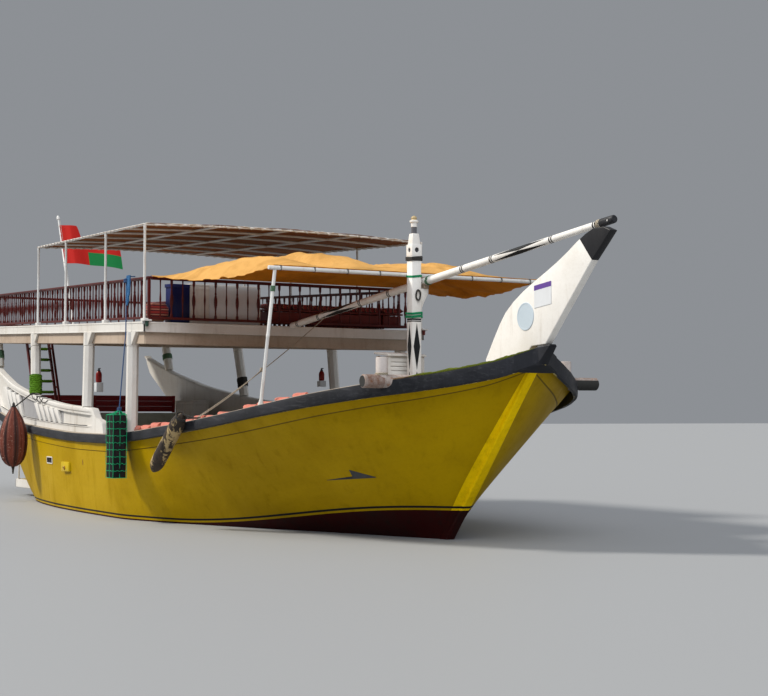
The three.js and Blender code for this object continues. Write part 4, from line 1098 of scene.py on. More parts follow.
def clear_of_hatch(x0, x1, y0, y1):
    """The lengths of a plank that the ladder's hatch leaves."""
    if y1 <= HATCH[2] or y0 >= HATCH[3] or x1 <= HATCH[0] or x0 >= HATCH[1]:
        return [(x0, x1)]
    return [span for span in ((x0, HATCH[0]), (HATCH[1], x1)) if span[1] - span[0] > 0.05]


def deck_plank(x0, x1, shares, drops, inset=0.03):
    """A board across the deck's shares of its half width."""
    return prism(lambda x, s, d: (x, s * (upper_half(x) - inset), upper_top(x) - d), (x0, x1), shares, drops)


def edge_board(side, x0, x1, ins, drops):
    """A board along the deck's edge."""
    return prism(lambda x, y, d: (x, side * (upper_half(x) - y), upper_top(x) - d), (x0, x1), ins, drops)


def make_upper_deck():
    planks = []
    count = 36
    for i in range(count):
        s0, s1 = 2 * i / count - 1 + 0.0006, 2 * (i + 1) / count - 1 - 0.0006
        y0, y1 = s0 * upper_half(-9.4), s1 * upper_half(-9.4)
        joint = -13.75 + 3.1 * (1 + (i * 7 % 5) * 0.23)
        for a, b in ((-13.77, joint), (joint + 0.003, joint + 5.6), (joint + 5.603, 2.06)):
            planks += [deck_plank(p, q, (s0, s1), (0.05, 0.004)) for p, q in clear_of_hatch(a, b, y0, y1)]
    piece_is(timbers(planks, 0.003), "upper_deck_planks", DECK_WOOD_GREY)

    under = []
    for i in range(30):
        x = 1.8 - 0.53 * i
        for shares in [(-1, -0.94), (-0.6, 1)] if HATCH[0] < x < HATCH[1] else [(-1, 1)]:
            under.append(deck_plank(x - 0.035, x + 0.035, shares, (0.2, 0.055), 0.08))
    for side, _ in SIDES:
        for i in range(8):
            x0, x1 = -13.6 + 1.95 * i, -13.6 + 1.95 * (i + 1)
            under.append(edge_board(side, x0, min(x1, 1.97), (0.21, 0.07), (0.485, 0.2)))
    for back in (0.18, 4.31, 9.65, 14.66, 15.7):
        x = UPPER_FRONT - back
        under.append(deck_plank(x - 0.08, x + 0.08, (-1, 1), (0.485, 0.2), 0.09))
    piece_is(timbers(under, 0.008), "upper_deck_beams", BEAM_WHITE_PAINTED_SHADE)

    edge = []
    for side, _ in SIDES:
        for i in range(4):
            x0, x1 = UPPER_AFT + 3.975 * i, UPPER_AFT + 3.975 * (i + 1)
            for ins, drops in (((0.045, 0), (FASCIA, 0.0)), ((0.07, -0.012), (0.032, -0.008)),
                               ((0.05, -0.008), (FASCIA, 0.19))):
                edge.append(edge_board(side, x0, x1, ins, drops))
    for end_x, sign in ((UPPER_FRONT, 1), (UPPER_AFT, -1)):
        for ins, drops in (((0.045, 0), (FASCIA, 0.0)), ((0.07, -0.01), (0.032, -0.008))):
            edge.append(prism(lambda y, s, d: (end_x - sign * y, s * upper_half(end_x), upper_top(end_x) - d),
                              ins, (-1, 1), drops))
    piece_is(timbers(edge, 0.006), "upper_deck_fascia", WHITE, node="upper_deck")
    rim = [prism(lambda x, y, z: (x, y, upper_top(-9.4) + z + (upper_top(x) - upper_top(-9.4))), *span,
                 (-0.25, 0.02)) for span in (
        ((-9.88, -9.83), (-2.88, -1.92)), ((-8.95, -8.9), (-2.88, -1.92)), ((-9.83, -8.95), (-2.88, -2.83)),
        ((-9.83, -8.95), (-1.97, -1.92)))]
    piece_is(timbers(rim, 0.006), "hatch_rim", WHITE)


make_upper_deck()


# Railings with turned balusters
STOUT = [(0, 0.032), (0.1, 0.032), (0.115, 0.02), (0.2, 0.017), (0.27, 0.024), (0.34, 0.036), (0.42, 0.04),
         (0.5, 0.034), (0.57, 0.02), (0.6, 0.026), (0.63, 0.018), (0.72, 0.017), (0.77, 0.03), (0.885, 0.032)]
SLIM = [(0, 0.02), (0.12, 0.014), (0.3, 0.014), (0.4, 0.021), (0.44, 0.023), (0.5, 0.019), (0.6, 0.013),
        (0.76, 0.014), (0.885, 0.02)]


def on_deck(x, y, up=0.0):
    return Vector((x, y, upper_top(x) + up))


def baluster_row(start, end, count, profile, first, step):
    """One turned baluster, repeated along a run of the railing."""
    pace = (end - start) / count
    foot = start + pace * first + UP * 0.085
    return apply(turned(foot, foot + UP, profile, 8), "ARRAY", count=len(range(first, count, step)),
                 use_relative_offset=False, use_constant_offset=True, constant_offset_displace=pace * step)


def make_railings():
    front, aft = UPPER_FRONT - 0.07, UPPER_AFT + 0.07
    edge = lambda x: upper_half(x) - 0.15
    runs = [(name, (x, -edge(x)), (x, edge(x)), count)
            for name, x, count in (("front", front, 26), ("aft", aft, 20))]
    runs += [(name, (aft, side * edge(aft)), (front, side * edge(front)), 62) for side, name in SIDES]
    for name, a, b, count in runs:
        across = name in ("front", "aft")
        start, end = on_deck(*a), on_deck(*b)
        balusters = [baluster_row(start, end, count, STOUT, 2, 2), baluster_row(start, end, count, SLIM, 1, 2)]
        inset = (end - start).normalized() * (0.055 if across else 0.062)
        start, end = start + inset, end - inset
        blocks = [bar(start + UP * z, end + UP * z, wide, deep) for z, wide, deep in (
            (0.095, 0.07, 0.055), (0.985, 0.1, 0.045), (0.955, 0.065, 0.03))]
        for x, y in (a, b) if across else ():
            foot = on_deck(x, y, 0.002)
            blocks += [bar(foot + UP * low, foot + UP * high, wide, wide, AHEAD) for low, high, wide in (
                (0, 0.97, 0.062), (0, 0.09, 0.1), (0.965, 1.008, 0.11))]
        piece_is(joined([timbers(blocks, 0.008), *balusters]), f"railing_turned_{name}", MAROON,
                 node=f"railing_{name}")


make_railings()


# Canopy of pipes and laced cloth
CROWN, CANOPY_RISE = 0.08, 2.158
BAR_BACKS = (0.06, 1.53, 3.0, 4.75, 6.5, 7.9, 9.3)
SIDE_LACE = ((-0.075, 0.045), (0.034, 0.012), (0.02, -0.032), (-0.03, -0.02))
END_LACE = ((-0.07, 0.04), (0.033, 0.012), (0.02, -0.032), (-0.03, -0.02))


def canopy_half(x):
    return upper_half(x) - 0.04


def canopy_point(x, share, lift=0.0):
    return on_deck(x, share * canopy_half(x), CANOPY_RISE + lift + CROWN * (1 - share * share))


def canopy_cloth_row(i):
    """One row of the cloth, slack between the bars and scalloped where its lacing pulls."""
    back = 0.03 + 9.32 * i / 93
    x = UPPER_FRONT - back
    bay = max(b for b in (0.0, *BAR_BACKS) if b <= back)
    following = min(b for b in (*BAR_BACKS, 9.4) if b > back)
    row = []
    for j in range(45):
        s = -1.012 + 2.024 * j / 44
        slack = 0.022 * sin(pi * (back - bay) / (following - bay)) * sin(pi * (abs(s) * 2 % 1)) ** 2
        edge = clamp((abs(s) - 0.93) / 0.08)
        p = canopy_point(x, s, 0.034 - slack + 0.004 * rough(x * 1.7, s * 9, 0.3) - 0.03 * edge * edge)
        p.y -= copysign(0.02 * (0.5 - 0.5 * cos(2 * pi * back / 0.3)) * edge, s)
        if i in (0, 93):
            p.x += 0.014 * cos(j * pi) * (1 if i else -1)
        row.append(p)
    return row


def make_canopy():
    for i, back in enumerate((0.06, 3.0, 6.5, 9.3)):
        x = UPPER_FRONT - back
        for side, name in SIDES:
            foot = on_deck(x, side * canopy_half(x))
            long = CANOPY_RISE - 0.03
            pipe = turned(foot, foot + UP, [
                (0, 0.055), (0.014, 0.055), (0.016, 0.036), (0.05, 0.035), (0.06, 0.029), (0.98, 0.029),
                (0.985, 0.033), (1.03, 0.033), (1.035, 0.029), (long - 0.1, 0.029), (long - 0.09, 0.034),
                (long, 0.034)], 14)
            y = foot.y - side * 0.02
            cleat = timbers([slab(x - 0.13, x + 0.05, y - 0.06, y + 0.06, foot.z, foot.z + 0.085)], 0.01, 2)
            piece_is(joined([pipe, cleat]), f"canopy_pipe_{name}_{i + 1}", PIPE_WHITE,
                     node=f"canopy_post_{name}_{i + 1}")
    front, aft = UPPER_FRONT - 0.06, UPPER_FRONT - 9.33
    pipes = [tube([canopy_point(between(aft - 0.03, front + 0.03, i / 12), s) for i in range(13)], 0.027, 10)
             for s in (-1, -0.5, 0, 0.5, 1)]
    pipes += [tube([canopy_point(UPPER_FRONT - back, -1 + i / 8) for i in range(17)], 0.025, 10)
              for back in BAR_BACKS]
    piece_is(joined(pipes), "canopy_pipes", PIPE_WHITE, node="canopy_frame")
    sheet = sheet_of([canopy_cloth_row(i) for i in range(94)], 0.008)
    piece_is(sheet, "canopy_cloth", CANOPY_CLOTH, node="canopy")
    lines = []
    for side, _ in SIDES:
        lines.append([canopy_point(UPPER_FRONT - 0.08 - 9.2 * i / 124, side)
                      + Vector((0, side * SIDE_LACE[i % 4][0], SIDE_LACE[i % 4][1])) for i in range(125)])
    for end, sign in ((UPPER_FRONT - 0.06, 1), (UPPER_FRONT - 9.3, -1)):
        lines.append([canopy_point(end, -0.97 + 1.94 * i / 96)
                      + Vector((sign * END_LACE[i % 4][0], 0, END_LACE[i % 4][1])) for i in range(97)])
    lacing = joined([tube(points, 0.009, 5) for points in lines])
    cords = piece_is(lacing, "canopy_lacing", CORD_WHITE)


def cloth_with_painted_underlight(name, over, under, crumple=0.25):
    """Cloth with one colour above; the colour below is painted light and shade from the sun through the cloth.
    """
    material, tree = new_material(name, Specular_IOR_Level=0.05)
    top, low = [use(tree, CLOTH, Cloth=new, Worn=old, Threads=240.0, Stains=0.75)
                for new, old in (over, under)]
    upward = parts(Val(tree.nodes.new("ShaderNodeNewGeometry").outputs["True Normal"]))[2]
    colour = mixed(ramp(upward, -0.1, 0.1), low["Color"], top["Color"])
    return surface_of(material, top, crumple, 0.01 + 0.05 * (crumple - 0.25), colour)


# Canopy: beige above, darker brown below as painted shade with the light through it. Awning: orange above,
# brighter orange below as painted light shining through.
CANOPY_CLOTH = cloth_with_painted_underlight("canopy_canvas_painted_underside", ((0.62, 0.53, 0.38), (0.4, 0.32, 0.22)),
                               ((0.3, 0.105, 0.03), (0.17, 0.055, 0.014)))
AWNING_CLOTH = cloth_with_painted_underlight("awning_canvas_painted_underside", ((0.68, 0.375, 0.115), (0.38, 0.19, 0.045)),
                               ((0.75, 0.26, 0.02), (0.4, 0.12, 0.01)), 0.8)
make_canopy()


# Awning from the front railing to its pole
crest_at = curve_through((-1, -0.76, -0.55, -0.34, -0.12, 0.14, 0.45, 0.74, 1),
                         (-0.28, 0.12, -0.02, 0.3, 0.05, 0.08, 0.22, 0, -0.3))


def awning_point(t, a):
    """A point of the awning: t runs from the railing to the pole, a from starboard to port."""
    x = between(2.06, POLE_X, t)
    base = between(5.449, POLE_Z + 0.045, t)
    swell = max(0.0, sin(pi * t)) ** 0.72
    fold = 0.02 * rough(t * 2.2, a * 7.0, 1.7) + 0.008 * rough(t * 5, a * 21.0, 4.1)
    tug = 0.012 * sin(a * 46) * (1 - swell)
    pulled = rough(t * 1.6 + a * 1.4, a * 6.5 - t * 4.2, 9.3)
    slack = rough(t * 5.0 - a * 2.2, a * 9.0 + t * 6.0, 3.7)
    crease = 0.05 * max(0.0, 1 - 5 * abs(pulled)) + 0.025 * max(0.0, 1 - 4 * abs(slack))
    fold += crease * clamp(t * 9) * clamp((1 - t) * 9) * 0.5
    z = base + 0.12 * swell + 1.125 * crest_at(a) * swell + fold * swell * 2
    z += tug * clamp(t * 8) * clamp((1 - t) * 8)
    wide = between(3.42, POLE_HALF if a < 0 else POLE_HALF + 0.12 * a * a, t)
    return Vector((x, a * wide, z + 0.012 - 0.1 * max(0, a) ** 4 * swell))


def make_awning():
    rows = []
    for i in range(101):
        t = i / 100
        row = []
        for j in range(151):
            a = -1 + j / 75
            p = awning_point(t, a)
            edge = clamp((abs(a) - 0.94) / 0.06)
            p.y -= copysign(0.05 * (0.5 - 0.5 * cos(2 * pi * t * 15)) * edge, a)
            if i == 100:
                p.x -= 0.03 * (0.5 - 0.5 * cos(2 * pi * (a + 1) * 9))
            row.append(p)
        rows.append(row)
    sheet = sheet_of(rows, 0.008)
    piece_is(sheet, "awning_cloth", AWNING_CLOTH, node="awning")
    pole = turned((POLE_X, -3.16, POLE_Z), (POLE_X, 3.16, POLE_Z), [
        (0, 0.036), (0.01, 0.04), (1.0, 0.04), (1.01, 0.042), (1.06, 0.042), (1.07, 0.04), (6.31, 0.04),
        (6.32, 0.036)], 16)
    piece_is(pole, "awning_pole_turned", PIPE_WHITE, node="awning_pole")
    ties = []
    for k in range(9):
        y = (-0.96 + 0.24 * k) * POLE_HALF
        ties.append(tube([(POLE_X + 0.05 * cos(turn), y + 0.002 * i, POLE_Z + 0.052 * sin(turn))
                          for i, turn in enumerate(angles(10, over=5))], 0.006, 5))
    for side, _ in SIDES:
        ties.append(tube(sag(awning_point(0.0, side), (2.03, side * 3.46, 5.4), 0.0, 4), 0.008, 5))
    cords = piece_is(joined(ties), "awning_ties", ROPE_DARK)
    for side, name in SIDES:
        foot = Vector((7.2, side * 3.19, rail_top(7.2) + 0.001))
        head = Vector((POLE_X - 0.02, side * 3.01, POLE_Z - 0.035))
        long = (head - foot).length
        half = long * 0.5
        post = turned(foot, head, [
            (0, 0.055), (0.03, 0.055), (0.12, 0.034), (half, 0.034), (half + 0.01, 0.038),
            (half + 0.05, 0.038), (half + 0.06, 0.034), (long, 0.034)], 14)
        piece_is(post, f"awning_prop_{name}", PIPE_WHITE, node=f"awning_post_{name}")
        lashing(foot.lerp(head, 0.84), foot.lerp(head, 0.88), 0.04, ROPE_GREEN, f"prop_tie_{name}", 0.008)


make_awning()


# Mast, yard and stem head
def aged_white(tree, scale=1.5):
    return weathered(tree, (0.86, 0.84, 0.8), (0.55, 0.5, 0.43), 0.35, 0.4, 0.12,
                     (0.25, 0.2, 0.15), 0.35, scale)


def lozenges_over(colour, along, across, shapes):
    """Paints black diamonds over a colour: each is (middle, reach, half width)."""
    for middle, reach, half in shapes:
        shape = use(along.tree, LOZENGE, Along=along, Across=across, Middle=middle, Reach=reach, Half=half)
        colour = mixed(shape["Mask"], colour, BLACK)
    return colour


def mast_material():
    """White with black bands and a long black lozenge on each face."""
    material, tree = new_material("mast_banded")
    place, base = parts(object_place(tree)), aged_white(tree)
    off_x = abs(place[0] - MAST_X)
    across = off_x.calc("MINIMUM", off_x, abs(place[1]))
    colour = bands_over(base["Color"], place[2], [
        (4.236, 4.302, BLACK), (4.258, 4.268, (0.7, 0.69, 0.66)), (5.455, 5.53, (0.1, 0.1, 0.1)),
        (6.01, 6.14, (0.12, 0.12, 0.13)), (6.28, 6.4, (0.5, 0.38, 0.2))])
    colour = lozenges_over(colour, place[2], across, [(3.74, 0.48, 0.078), (3.05, 0.2, 0.07)])
    return surface_of(material, base, 0.25, colour=colour)


def yard_material():
    """White spar with paired black bands and long black lozenges round it."""
    material, tree = new_material("yard_banded")
    chart, base = chart_of(tree), aged_white(tree)
    quarter = 0.1257
    turn = chart[1] / quarter
    across = abs(turn.calc("FRACT", turn) - 0.5) * quarter
    pairs = []
    for at in (0.315, 1.267, 3.043, 4.182, 6.804, 7.75, 9.526, 10.711):
        pairs += [(at - 0.045, at - 0.01, BLACK), (at + 0.012, at + 0.047, BLACK)]
    colour = lozenges_over(bands_over(base["Color"], chart[0], pairs), chart[0], across,
                           [(2.135, 0.84, 0.06), (8.61, 0.83, 0.06)])
    return surface_of(material, base, 0.25, colour=colour)


def stem_head_material():
    """White board whose tip is black."""
    material, tree = new_material("stem_head_white")
    place, base = parts(object_place(tree)), aged_white(tree, 1.1)
    tip = ramp((place[0] - 13.131) * 0.759 + (place[2] - 5.291) * 0.652, 0.0, 0.006)
    return surface_of(material, base, 0.25, colour=mixed(tip, base["Color"], (0.014, 0.014, 0.016)))


def cut_away(piece, cutter):
    """Cuts one piece's shape out of another and removes the cutter."""
    apply(piece, "BOOLEAN", object=cutter, operation="DIFFERENCE", solver="EXACT")
    bpy.data.objects.remove(cutter)


def make_mast():
    block = timbers([slab(MAST_X - 0.115, MAST_X + 0.115, -0.115, 0.115, 5.545, 5.79)], 0.012, 2)
    middle = Vector((MAST_X, 0, 5.675))
    for way in (AHEAD, Vector((0, 1, 0))):
        cut_away(block, turned(middle - way * 0.3, middle + way * 0.3, [(0, 0.05), (0.6, 0.05)], 24))
    # Black plugs set into the cross holes stand in for the dark inside them: painted shade.
    hole_shade_plugs = joined([turned(middle - way * 0.085, middle + way * 0.085, [(0, 0.0505), (0.17, 0.0505)], 24)
                   for way in (AHEAD, Vector((0, 1, 0)))])
    piece_is(hole_shade_plugs, "mast_hole_shade_plugs", STRAKE_PLAIN)
    shaft = timbers([slab(MAST_X - MAST_HALF, MAST_X + MAST_HALF, -MAST_HALF, MAST_HALF, 1.5, 5.56)], 0.014, 2)
    taper = timbers([prism(lambda sx, sy, end: (MAST_X + sx * end[1], sy * end[1], end[0]), (-1, 1), (-1, 1),
                           ((5.785, 0.095), (6.01, 0.072)))], 0.01, 2)
    finial = turned((MAST_X, 0, 6.0), (MAST_X, 0, 6.37), [
        (0, 0.055), (0.14, 0.055), (0.145, 0.062), (0.225, 0.062), (0.238, 0.084), (0.243, 0.09),
        (0.27, 0.09), (0.278, 0.076), (0.288, 0.055), (0.3, 0.05), (0.315, 0.059), (0.325, 0.06),
        (0.345, 0.052), (0.36, 0.035), (0.37, 0.012)], 24)
    top = YARD_Z - 0.08 - 0.06
    shape = [(0.087, top - 0.56), (0.2, top - 0.28), (0.306, top - 0.09), (0.306, top), (0.087, top)]
    knee = plate(shape, 0.12, lambda u, v, d: (MAST_X + d, u, v), 0.012, 2)
    piece_is(joined([shaft, block, taper, finial, knee]), "mast_square", mast_material(),
             node="mast", smooth=0.5)
    for low, high, material in ((5.12, 5.165, MAST_GREEN), (4.31, 4.36, MAST_GREEN), (4.38, 4.42, MAST_GREEN),
                                (5.46, 5.535, ROPE_DARK)):
        thin = low == 5.12
        pitch, stand_off, radius = (0.011, 0.004, 0.006) if thin else (0.022, 0.012, 0.013)
        turns = max(2, round((high - low) / pitch))
        reach = MAST_HALF + stand_off
        points = []
        for i in range(turns * 4 + 1):
            sx, sy = ((1, 1), (-1, 1), (-1, -1), (1, -1))[i % 4]
            z = low + (high - low) * i / (turns * 4) + 0.012 * sx * sy
            points.append((MAST_X + sx * reach, sy * reach, z))
        piece_is(tube(points, radius, 6), f"mast_rope_{round(low * 100)}", material)
    loop = [(MAST_X + 0.13 + 0.008 * sin(3 * a), 0.02 + 0.05 * cos(a), 4.77 + 0.1 * sin(a))
            for a in angles(24, over=1)]
    piece_is(tube(loop, 0.017, 7), "mast_loop", ROPE_DARK)
    coil = []
    for i, a in enumerate(angles(20, over=130)):
        r = 0.26 + 0.03 * sin(i * 0.9) + 0.02 * sin(i * 0.31)
        coil.append((MAST_X + 0.12 + r * cos(a), -0.35 + r * 0.9 * sin(a),
                     foredeck_top(MAST_X) + 0.08 + 0.03 * (i / 20) + 0.02 * sin(i * 1.7)))
    piece_is(tube(coil, 0.02, 7), "mast_foot_coil", ROPE_PALE)


def yard_at(s):
    return Vector((MAST_X + s * cos(YARD_TOE), YARD_Y + s * sin(YARD_TOE), YARD_Z + s * YARD_RISE))


def make_yard():
    steps = [-5.4, -5.395, *[-5.3 + 0.34 * i for i in range(33)], 5.68, 5.7]
    radii = [(between(0.08, 0.07, clamp(-s / 5.4)) if s < 0 else between(0.08, 0.06, clamp(s / 5.7)))
             * (0.9 if s in (-5.4, 5.7) else 1) for s in steps]
    piece_is(tube([yard_at(s) for s in steps], radii, 20), "yard_spar", yard_material(), "yard",
             "yard")
    cap = turned(yard_at(5.38), yard_at(5.72), [
        (0, 0.064), (0.005, 0.074), (0.05, 0.076), (0.26, 0.074), (0.33, 0.07), (0.345, 0.06)], 20)
    centre, across = yard_at(5.6), Vector((0, 0.3, 0))
    cut_away(cap, turned(centre - across, centre + across, [(0, 0.026), (0.6, 0.026)], 16))
    piece_is(cap, "yard_cap", STRAKE_PLAIN, "yard")
    lashing(yard_at(5.29), yard_at(5.37), 0.068, ROPE_PALE, "yard_cap_rope", 0.01, body="yard")
    saddle = timbers([slab(MAST_X - 0.1, MAST_X + 0.1, YARD_Y - 0.06, YARD_Y + 0.06, 4.9103, 5.02)], 0.012, 2)
    piece_is(saddle, "yard_saddle", RAW_WOOD, "yard")
    for s in (-0.2, 0.14):
        name = f"yard_rope_{round(s * 100)}"
        lashing(yard_at(s), yard_at(s + 0.07), 0.084, ROPE_GREEN, name, 0.011, body="yard")


def make_stem_head():
    outline = [(10.24, 2.78), (10.26, 3.4), (10.5, 3.74), (10.71, 4.02), (10.89, 4.22), (11.14, 4.4),
               (11.45, 4.57), (11.79, 4.72), (12.13, 4.86), (12.47, 5.01), (12.75, 5.15), (13.02, 5.3),
               (13.24, 5.405), (13.45, 5.478), (13.74, 5.478), (13.935, 5.4), (13.68, 5.17),
               (13.43, 4.95), (12.115, 3.6), (11.7, 3.58), (10.945, 2.9)]
    board = plate(outline, 0.15, lambda u, v, d: (u, d, v), 0.02, 3)
    piece_is(board, "stem_head_board", stem_head_material(), node="stem_head")
    for side, name in SIDES:
        face = side * 0.078
        for label, material, low, out, thick, edge in (("blank_panel", PANEL_WHITE, 4.24, 0, 0.012, 0.004),
                                                       ("panel_band", PURPLE, 4.55, 0.006, 0.004, 0.001)):
            panel = plate([(11.8, low), (12.3, low + 0.05), (12.3, 4.69), (11.8, 4.64)], thick,
                          lambda u, v, d: (u, face + side * out + d, v), edge, 1)
            piece_is(panel, f"{label}_{name}", material)
        disc = turned((11.53, face - side * 0.006, 4.115), (11.53, face + side * 0.02, 4.115), [
            (0, 0.25), (0.01, 0.25), (0.014, 0.246), (0.015, 0.225), (0.011, 0.222), (0.011, 0.02)], 48)
        piece_is(disc, f"blank_disc_{name}", DISC_BLUE)


make_mast()
make_yard()
make_stem_head()


# Bow beam, decks and the box abaft the mast
def beam_material():
    """Weathered white on a log, black at its port end."""
    material, tree = new_material("bow_beam_worn")
    place = object_place(tree)
    _, y, z = parts(place)
    base = weathered(tree, (0.42, 0.37, 0.34), (0.2, 0.13, 0.1), 0.9, 0.5, 0.8, (0.3, 0.14, 0.07), 0.5, 3.0)
    near = use(tree, BAND, Along=y, From=-2.54, To=-2.2)["Mask"] * 0.3
    rust = ramp(speckle(place, 5, 6, 0.7) + near, 0.6, 0.95) * 0.85
    rusted = mixed(rust, base["Color"], (0.15, 0.065, 0.035))
    dark = y.calc("MAXIMUM", (y > 2.02) * (z < 3.04), y < -2.598)
    return surface_of(material, base, 0.5, 0.015, mixed(dark, rusted, (0.03, 0.03, 0.028)))


def planked_material():
    """Deck timber with a dark seam between planks that run along the boat."""
    material, tree = new_material("deck_planked", Roughness=0.65)
    dark = (0.17, 0.12, 0.08)
    wood = use(tree, GRAIN, Light=(0.34, 0.26, 0.18), Dark=dark, Stretch=(0.5, 9, 9), Scale=1.0)
    boards = use(tree, PLANKS, Across=parts(object_place(tree))[1], Width=0.14, Seam=0.05)
    toned = mixed(boards["Tone"] * 0.35, wood["Color"], dark)
    colour = mixed(boards["Seam"], toned, (0.02, 0.017, 0.015))
    return surface_of(material, wood, 0.4, colour=colour, height=wood["Height"] - boards["Seam"] * 2.0)


BEAM_WORN, DECK_PLANKED = beam_material(), planked_material()


def make_bow_beam():
    beam = turned((BOW_BEAM_X, -2.6, BOW_BEAM_Z), (BOW_BEAM_X, 2.6, BOW_BEAM_Z), [
        (0, 0.1), (0.02, 0.122), (0.4, 0.124), (0.42, 0.118), (0.46, 0.118), (0.48, 0.124), (4.72, 0.124),
        (4.74, 0.118), (4.78, 0.118), (4.8, 0.124), (5.18, 0.122), (5.2, 0.1)], 24)
    piece_is(beam, "bow_beam_log", BEAM_WORN, node="bow_beam")
    for y, name in ((-2.2, "starboard"), (1.87, "port")):
        post = turned((BOW_BEAM_X, y, BOW_BEAM_Z + 0.06), (BOW_BEAM_X, y, 3.4), [
            (0, 0.106), (0.35, 0.106), (0.365, 0.1), (0.37, 0.09)], 24)
        piece_is(post, f"bollard_{name}", BOLLARD_WHITE)
        lashing((BOW_BEAM_X, y, 3.08), (BOW_BEAM_X, y, 3.12), 0.112, ROPE_PALE, f"bollard_turns_{name}", 0.01)


def inside_half(x, z):
    return max(0.02, on_hull(x, z, 1).y - 0.185)


def deck_floor(x0, x1, level, lengths, widths):
    """A deck from side to side of the hull, between two places along it."""
    rows = []
    for i in range(lengths):
        x = between(x0, x1, i / (lengths - 1))
        half, z = inside_half(x, level(x)), level(x) - 0.002
        rows.append([(x, half * (2 * j / widths - 1), z) for j in range(widths + 1)])
    return sheet_of(rows, 0.05, -1)


def make_decks():
    floor = deck_floor(-9.93, FOREDECK_AFT, lambda x: MAIN_DECK, 40, 24)
    piece_is(floor, "main_deck_planks", DECK_PLANKED, node="main_deck")
    fore = deck_floor(FOREDECK_AFT, 11.1, foredeck_top, 30, 20)
    ends = ((MAIN_DECK, inside_half(FOREDECK_AFT, 1.2) - 0.02), (2.1, inside_half(FOREDECK_AFT, 2.1) - 0.01))
    boards = [prism(lambda x, y, end: (x, y * end[1], end[0]), (6.56, FOREDECK_AFT),
                    (-1 + i / 10, -1 + (i + 0.98) / 10), ends) for i in range(20)]
    lip = slab(6.5, 6.66, -ends[1][1], ends[1][1], 2.09, 2.16)
    wall = painted(timbers([*boards, lip], 0.005), WHITE)
    piece_is(joined([painted(fore, DECK_PLANKED), wall]), "foredeck_planks", None, node="foredeck")


def make_foredeck_box():
    x0, x1, y0, y1 = 6.76, 7.26, -0.4, 0.45
    blocks = [slab(x0 + 0.03, x1 - 0.03, y0 + 0.03, y1 - 0.03, foredeck_top(7), 3.56)]
    blocks += [slab(x, x + 0.07, y, y + 0.07, foredeck_top(x), 3.58)
               for x in (x0, x1 - 0.07) for y in (y0, y1 - 0.07)]
    for i in range(13):
        z = 2.42 + 0.088 * i
        for face in (x1 - 0.03, x0 + 0.008):
            blocks.append(prism(lambda k, y, up: (face + 0.022 * k, y, z + up - 0.03 * k), (0, 1),
                                (y0 + 0.07, y1 - 0.07), (0.0, 0.06)))
        for face, sign in ((y0 + 0.03, -1), (y1 - 0.03, 1)):
            blocks.append(prism(lambda x, k, up: (x, face + sign * k * 0.02, z + up - 0.03 * k),
                                (x0 + 0.07, x1 - 0.07), (0, 1), (0.0, 0.06)))
    blocks.append(prism(lambda x, y, z: (x, y, z + (0.06 if x < 7 else 0)), (x0 - 0.03, x1 + 0.03),
                        (y0 - 0.03, y1 + 0.03), (3.56, 3.6)))
    piece_is(timbers(blocks, 0.005), "louvred_box", WHITE, node="foredeck_box")


def make_ladder():
    foot_x, top_x = -7.95, -9.72
    low, high = MAIN_DECK, upper_top(top_x)
    at = lambda z: between(foot_x, top_x, (z - low) / (high - low))
    leaning = lambda x, y, z: (at(z) + x, y, z)
    blocks = [prism(leaning, (-0.06, 0.06), (y, y + 0.06), (low, high)) for y in (-2.75, -2.11)]
    blocks.append(prism(leaning, (0.27, 0.34), (-2.11, -2.05), (1.94, high - 0.48)))
    for z in (2.08, (2.08 + 4.33) / 2, 4.33):
        blocks.append(prism(lambda x, y, up: (at(z) + x, y, z + up),
                            (0.03, 0.29), (-2.1, -2.06), (-0.03, 0.03)))
    piece_is(timbers(blocks, 0.008, 2), "ladder_stiles", MAROON, node="ladder")
    rungs = []
    z = low + 0.31
    while z < high - 0.1:
        rungs.append(turned((at(z), -2.7, z), (at(z), -2.1, z), [(0, 0.024), (0.6, 0.024)], 10))
        turf_wrap((at(z), -2.66, z), (at(z), -2.14, z), 0.026, f"rung_wrap_{len(rungs) - 1}", 0.016, 0.6)
        z += 0.314
    piece_is(joined(rungs), "ladder_rungs", MAROON)


make_bow_beam()
make_decks()
make_foredeck_box()
make_ladder()


# Ensign staff and flag
FLY, HOIST = 1.8, 1.32


def staff_at(z):
    foot = upper_top(-13.46) + 0.02
    return Vector((-13.46 - (z - foot) * 0.4545, 0, z))


def flag_material():
    """A red band at the hoist, then white, red and green bands."""
    material, tree = new_material("flag_bands", Roughness=0.85)
    along, up, _ = chart_of(tree)
    weave = use(tree, CLOTH, Cloth=(0.55, 0.015, 0.01), Worn=(0.42, 0.02, 0.015), Threads=500.0, Stains=0.5)
    bands = bands_over(weave["Color"], up, [(-0.1, 0.44, (0.01, 0.2, 0.05)), (0.88, 1.5, (0.72, 0.7, 0.68))])
    return surface_of(material, weave, 0.2, colour=mixed(ramp(along, 0.8, 0.805), weave["Color"], bands))


def flag_point(out, v):
    """A point of the flag: out runs from its hoist, v from its foot to its head."""
    folded = ease(clamp((out - 0.5) / 0.22)) * clamp((v - 0.64) / 0.36)
    z = between(7.38, 8.7, v - 1.3 * folded * 0.36)
    wave = 0.11 * sin(out / 0.36 * 1.9) * clamp(out / 0.3)
    flutter = 0.035 * sin(out * 7 + v * 3.1) * out / FLY
    x = staff_at(z).x + 0.03 + wave + flutter + out * 0.3 - 0.05 * folded
    return Vector((x, out, z - 0.16 * (out / FLY) ** 2))


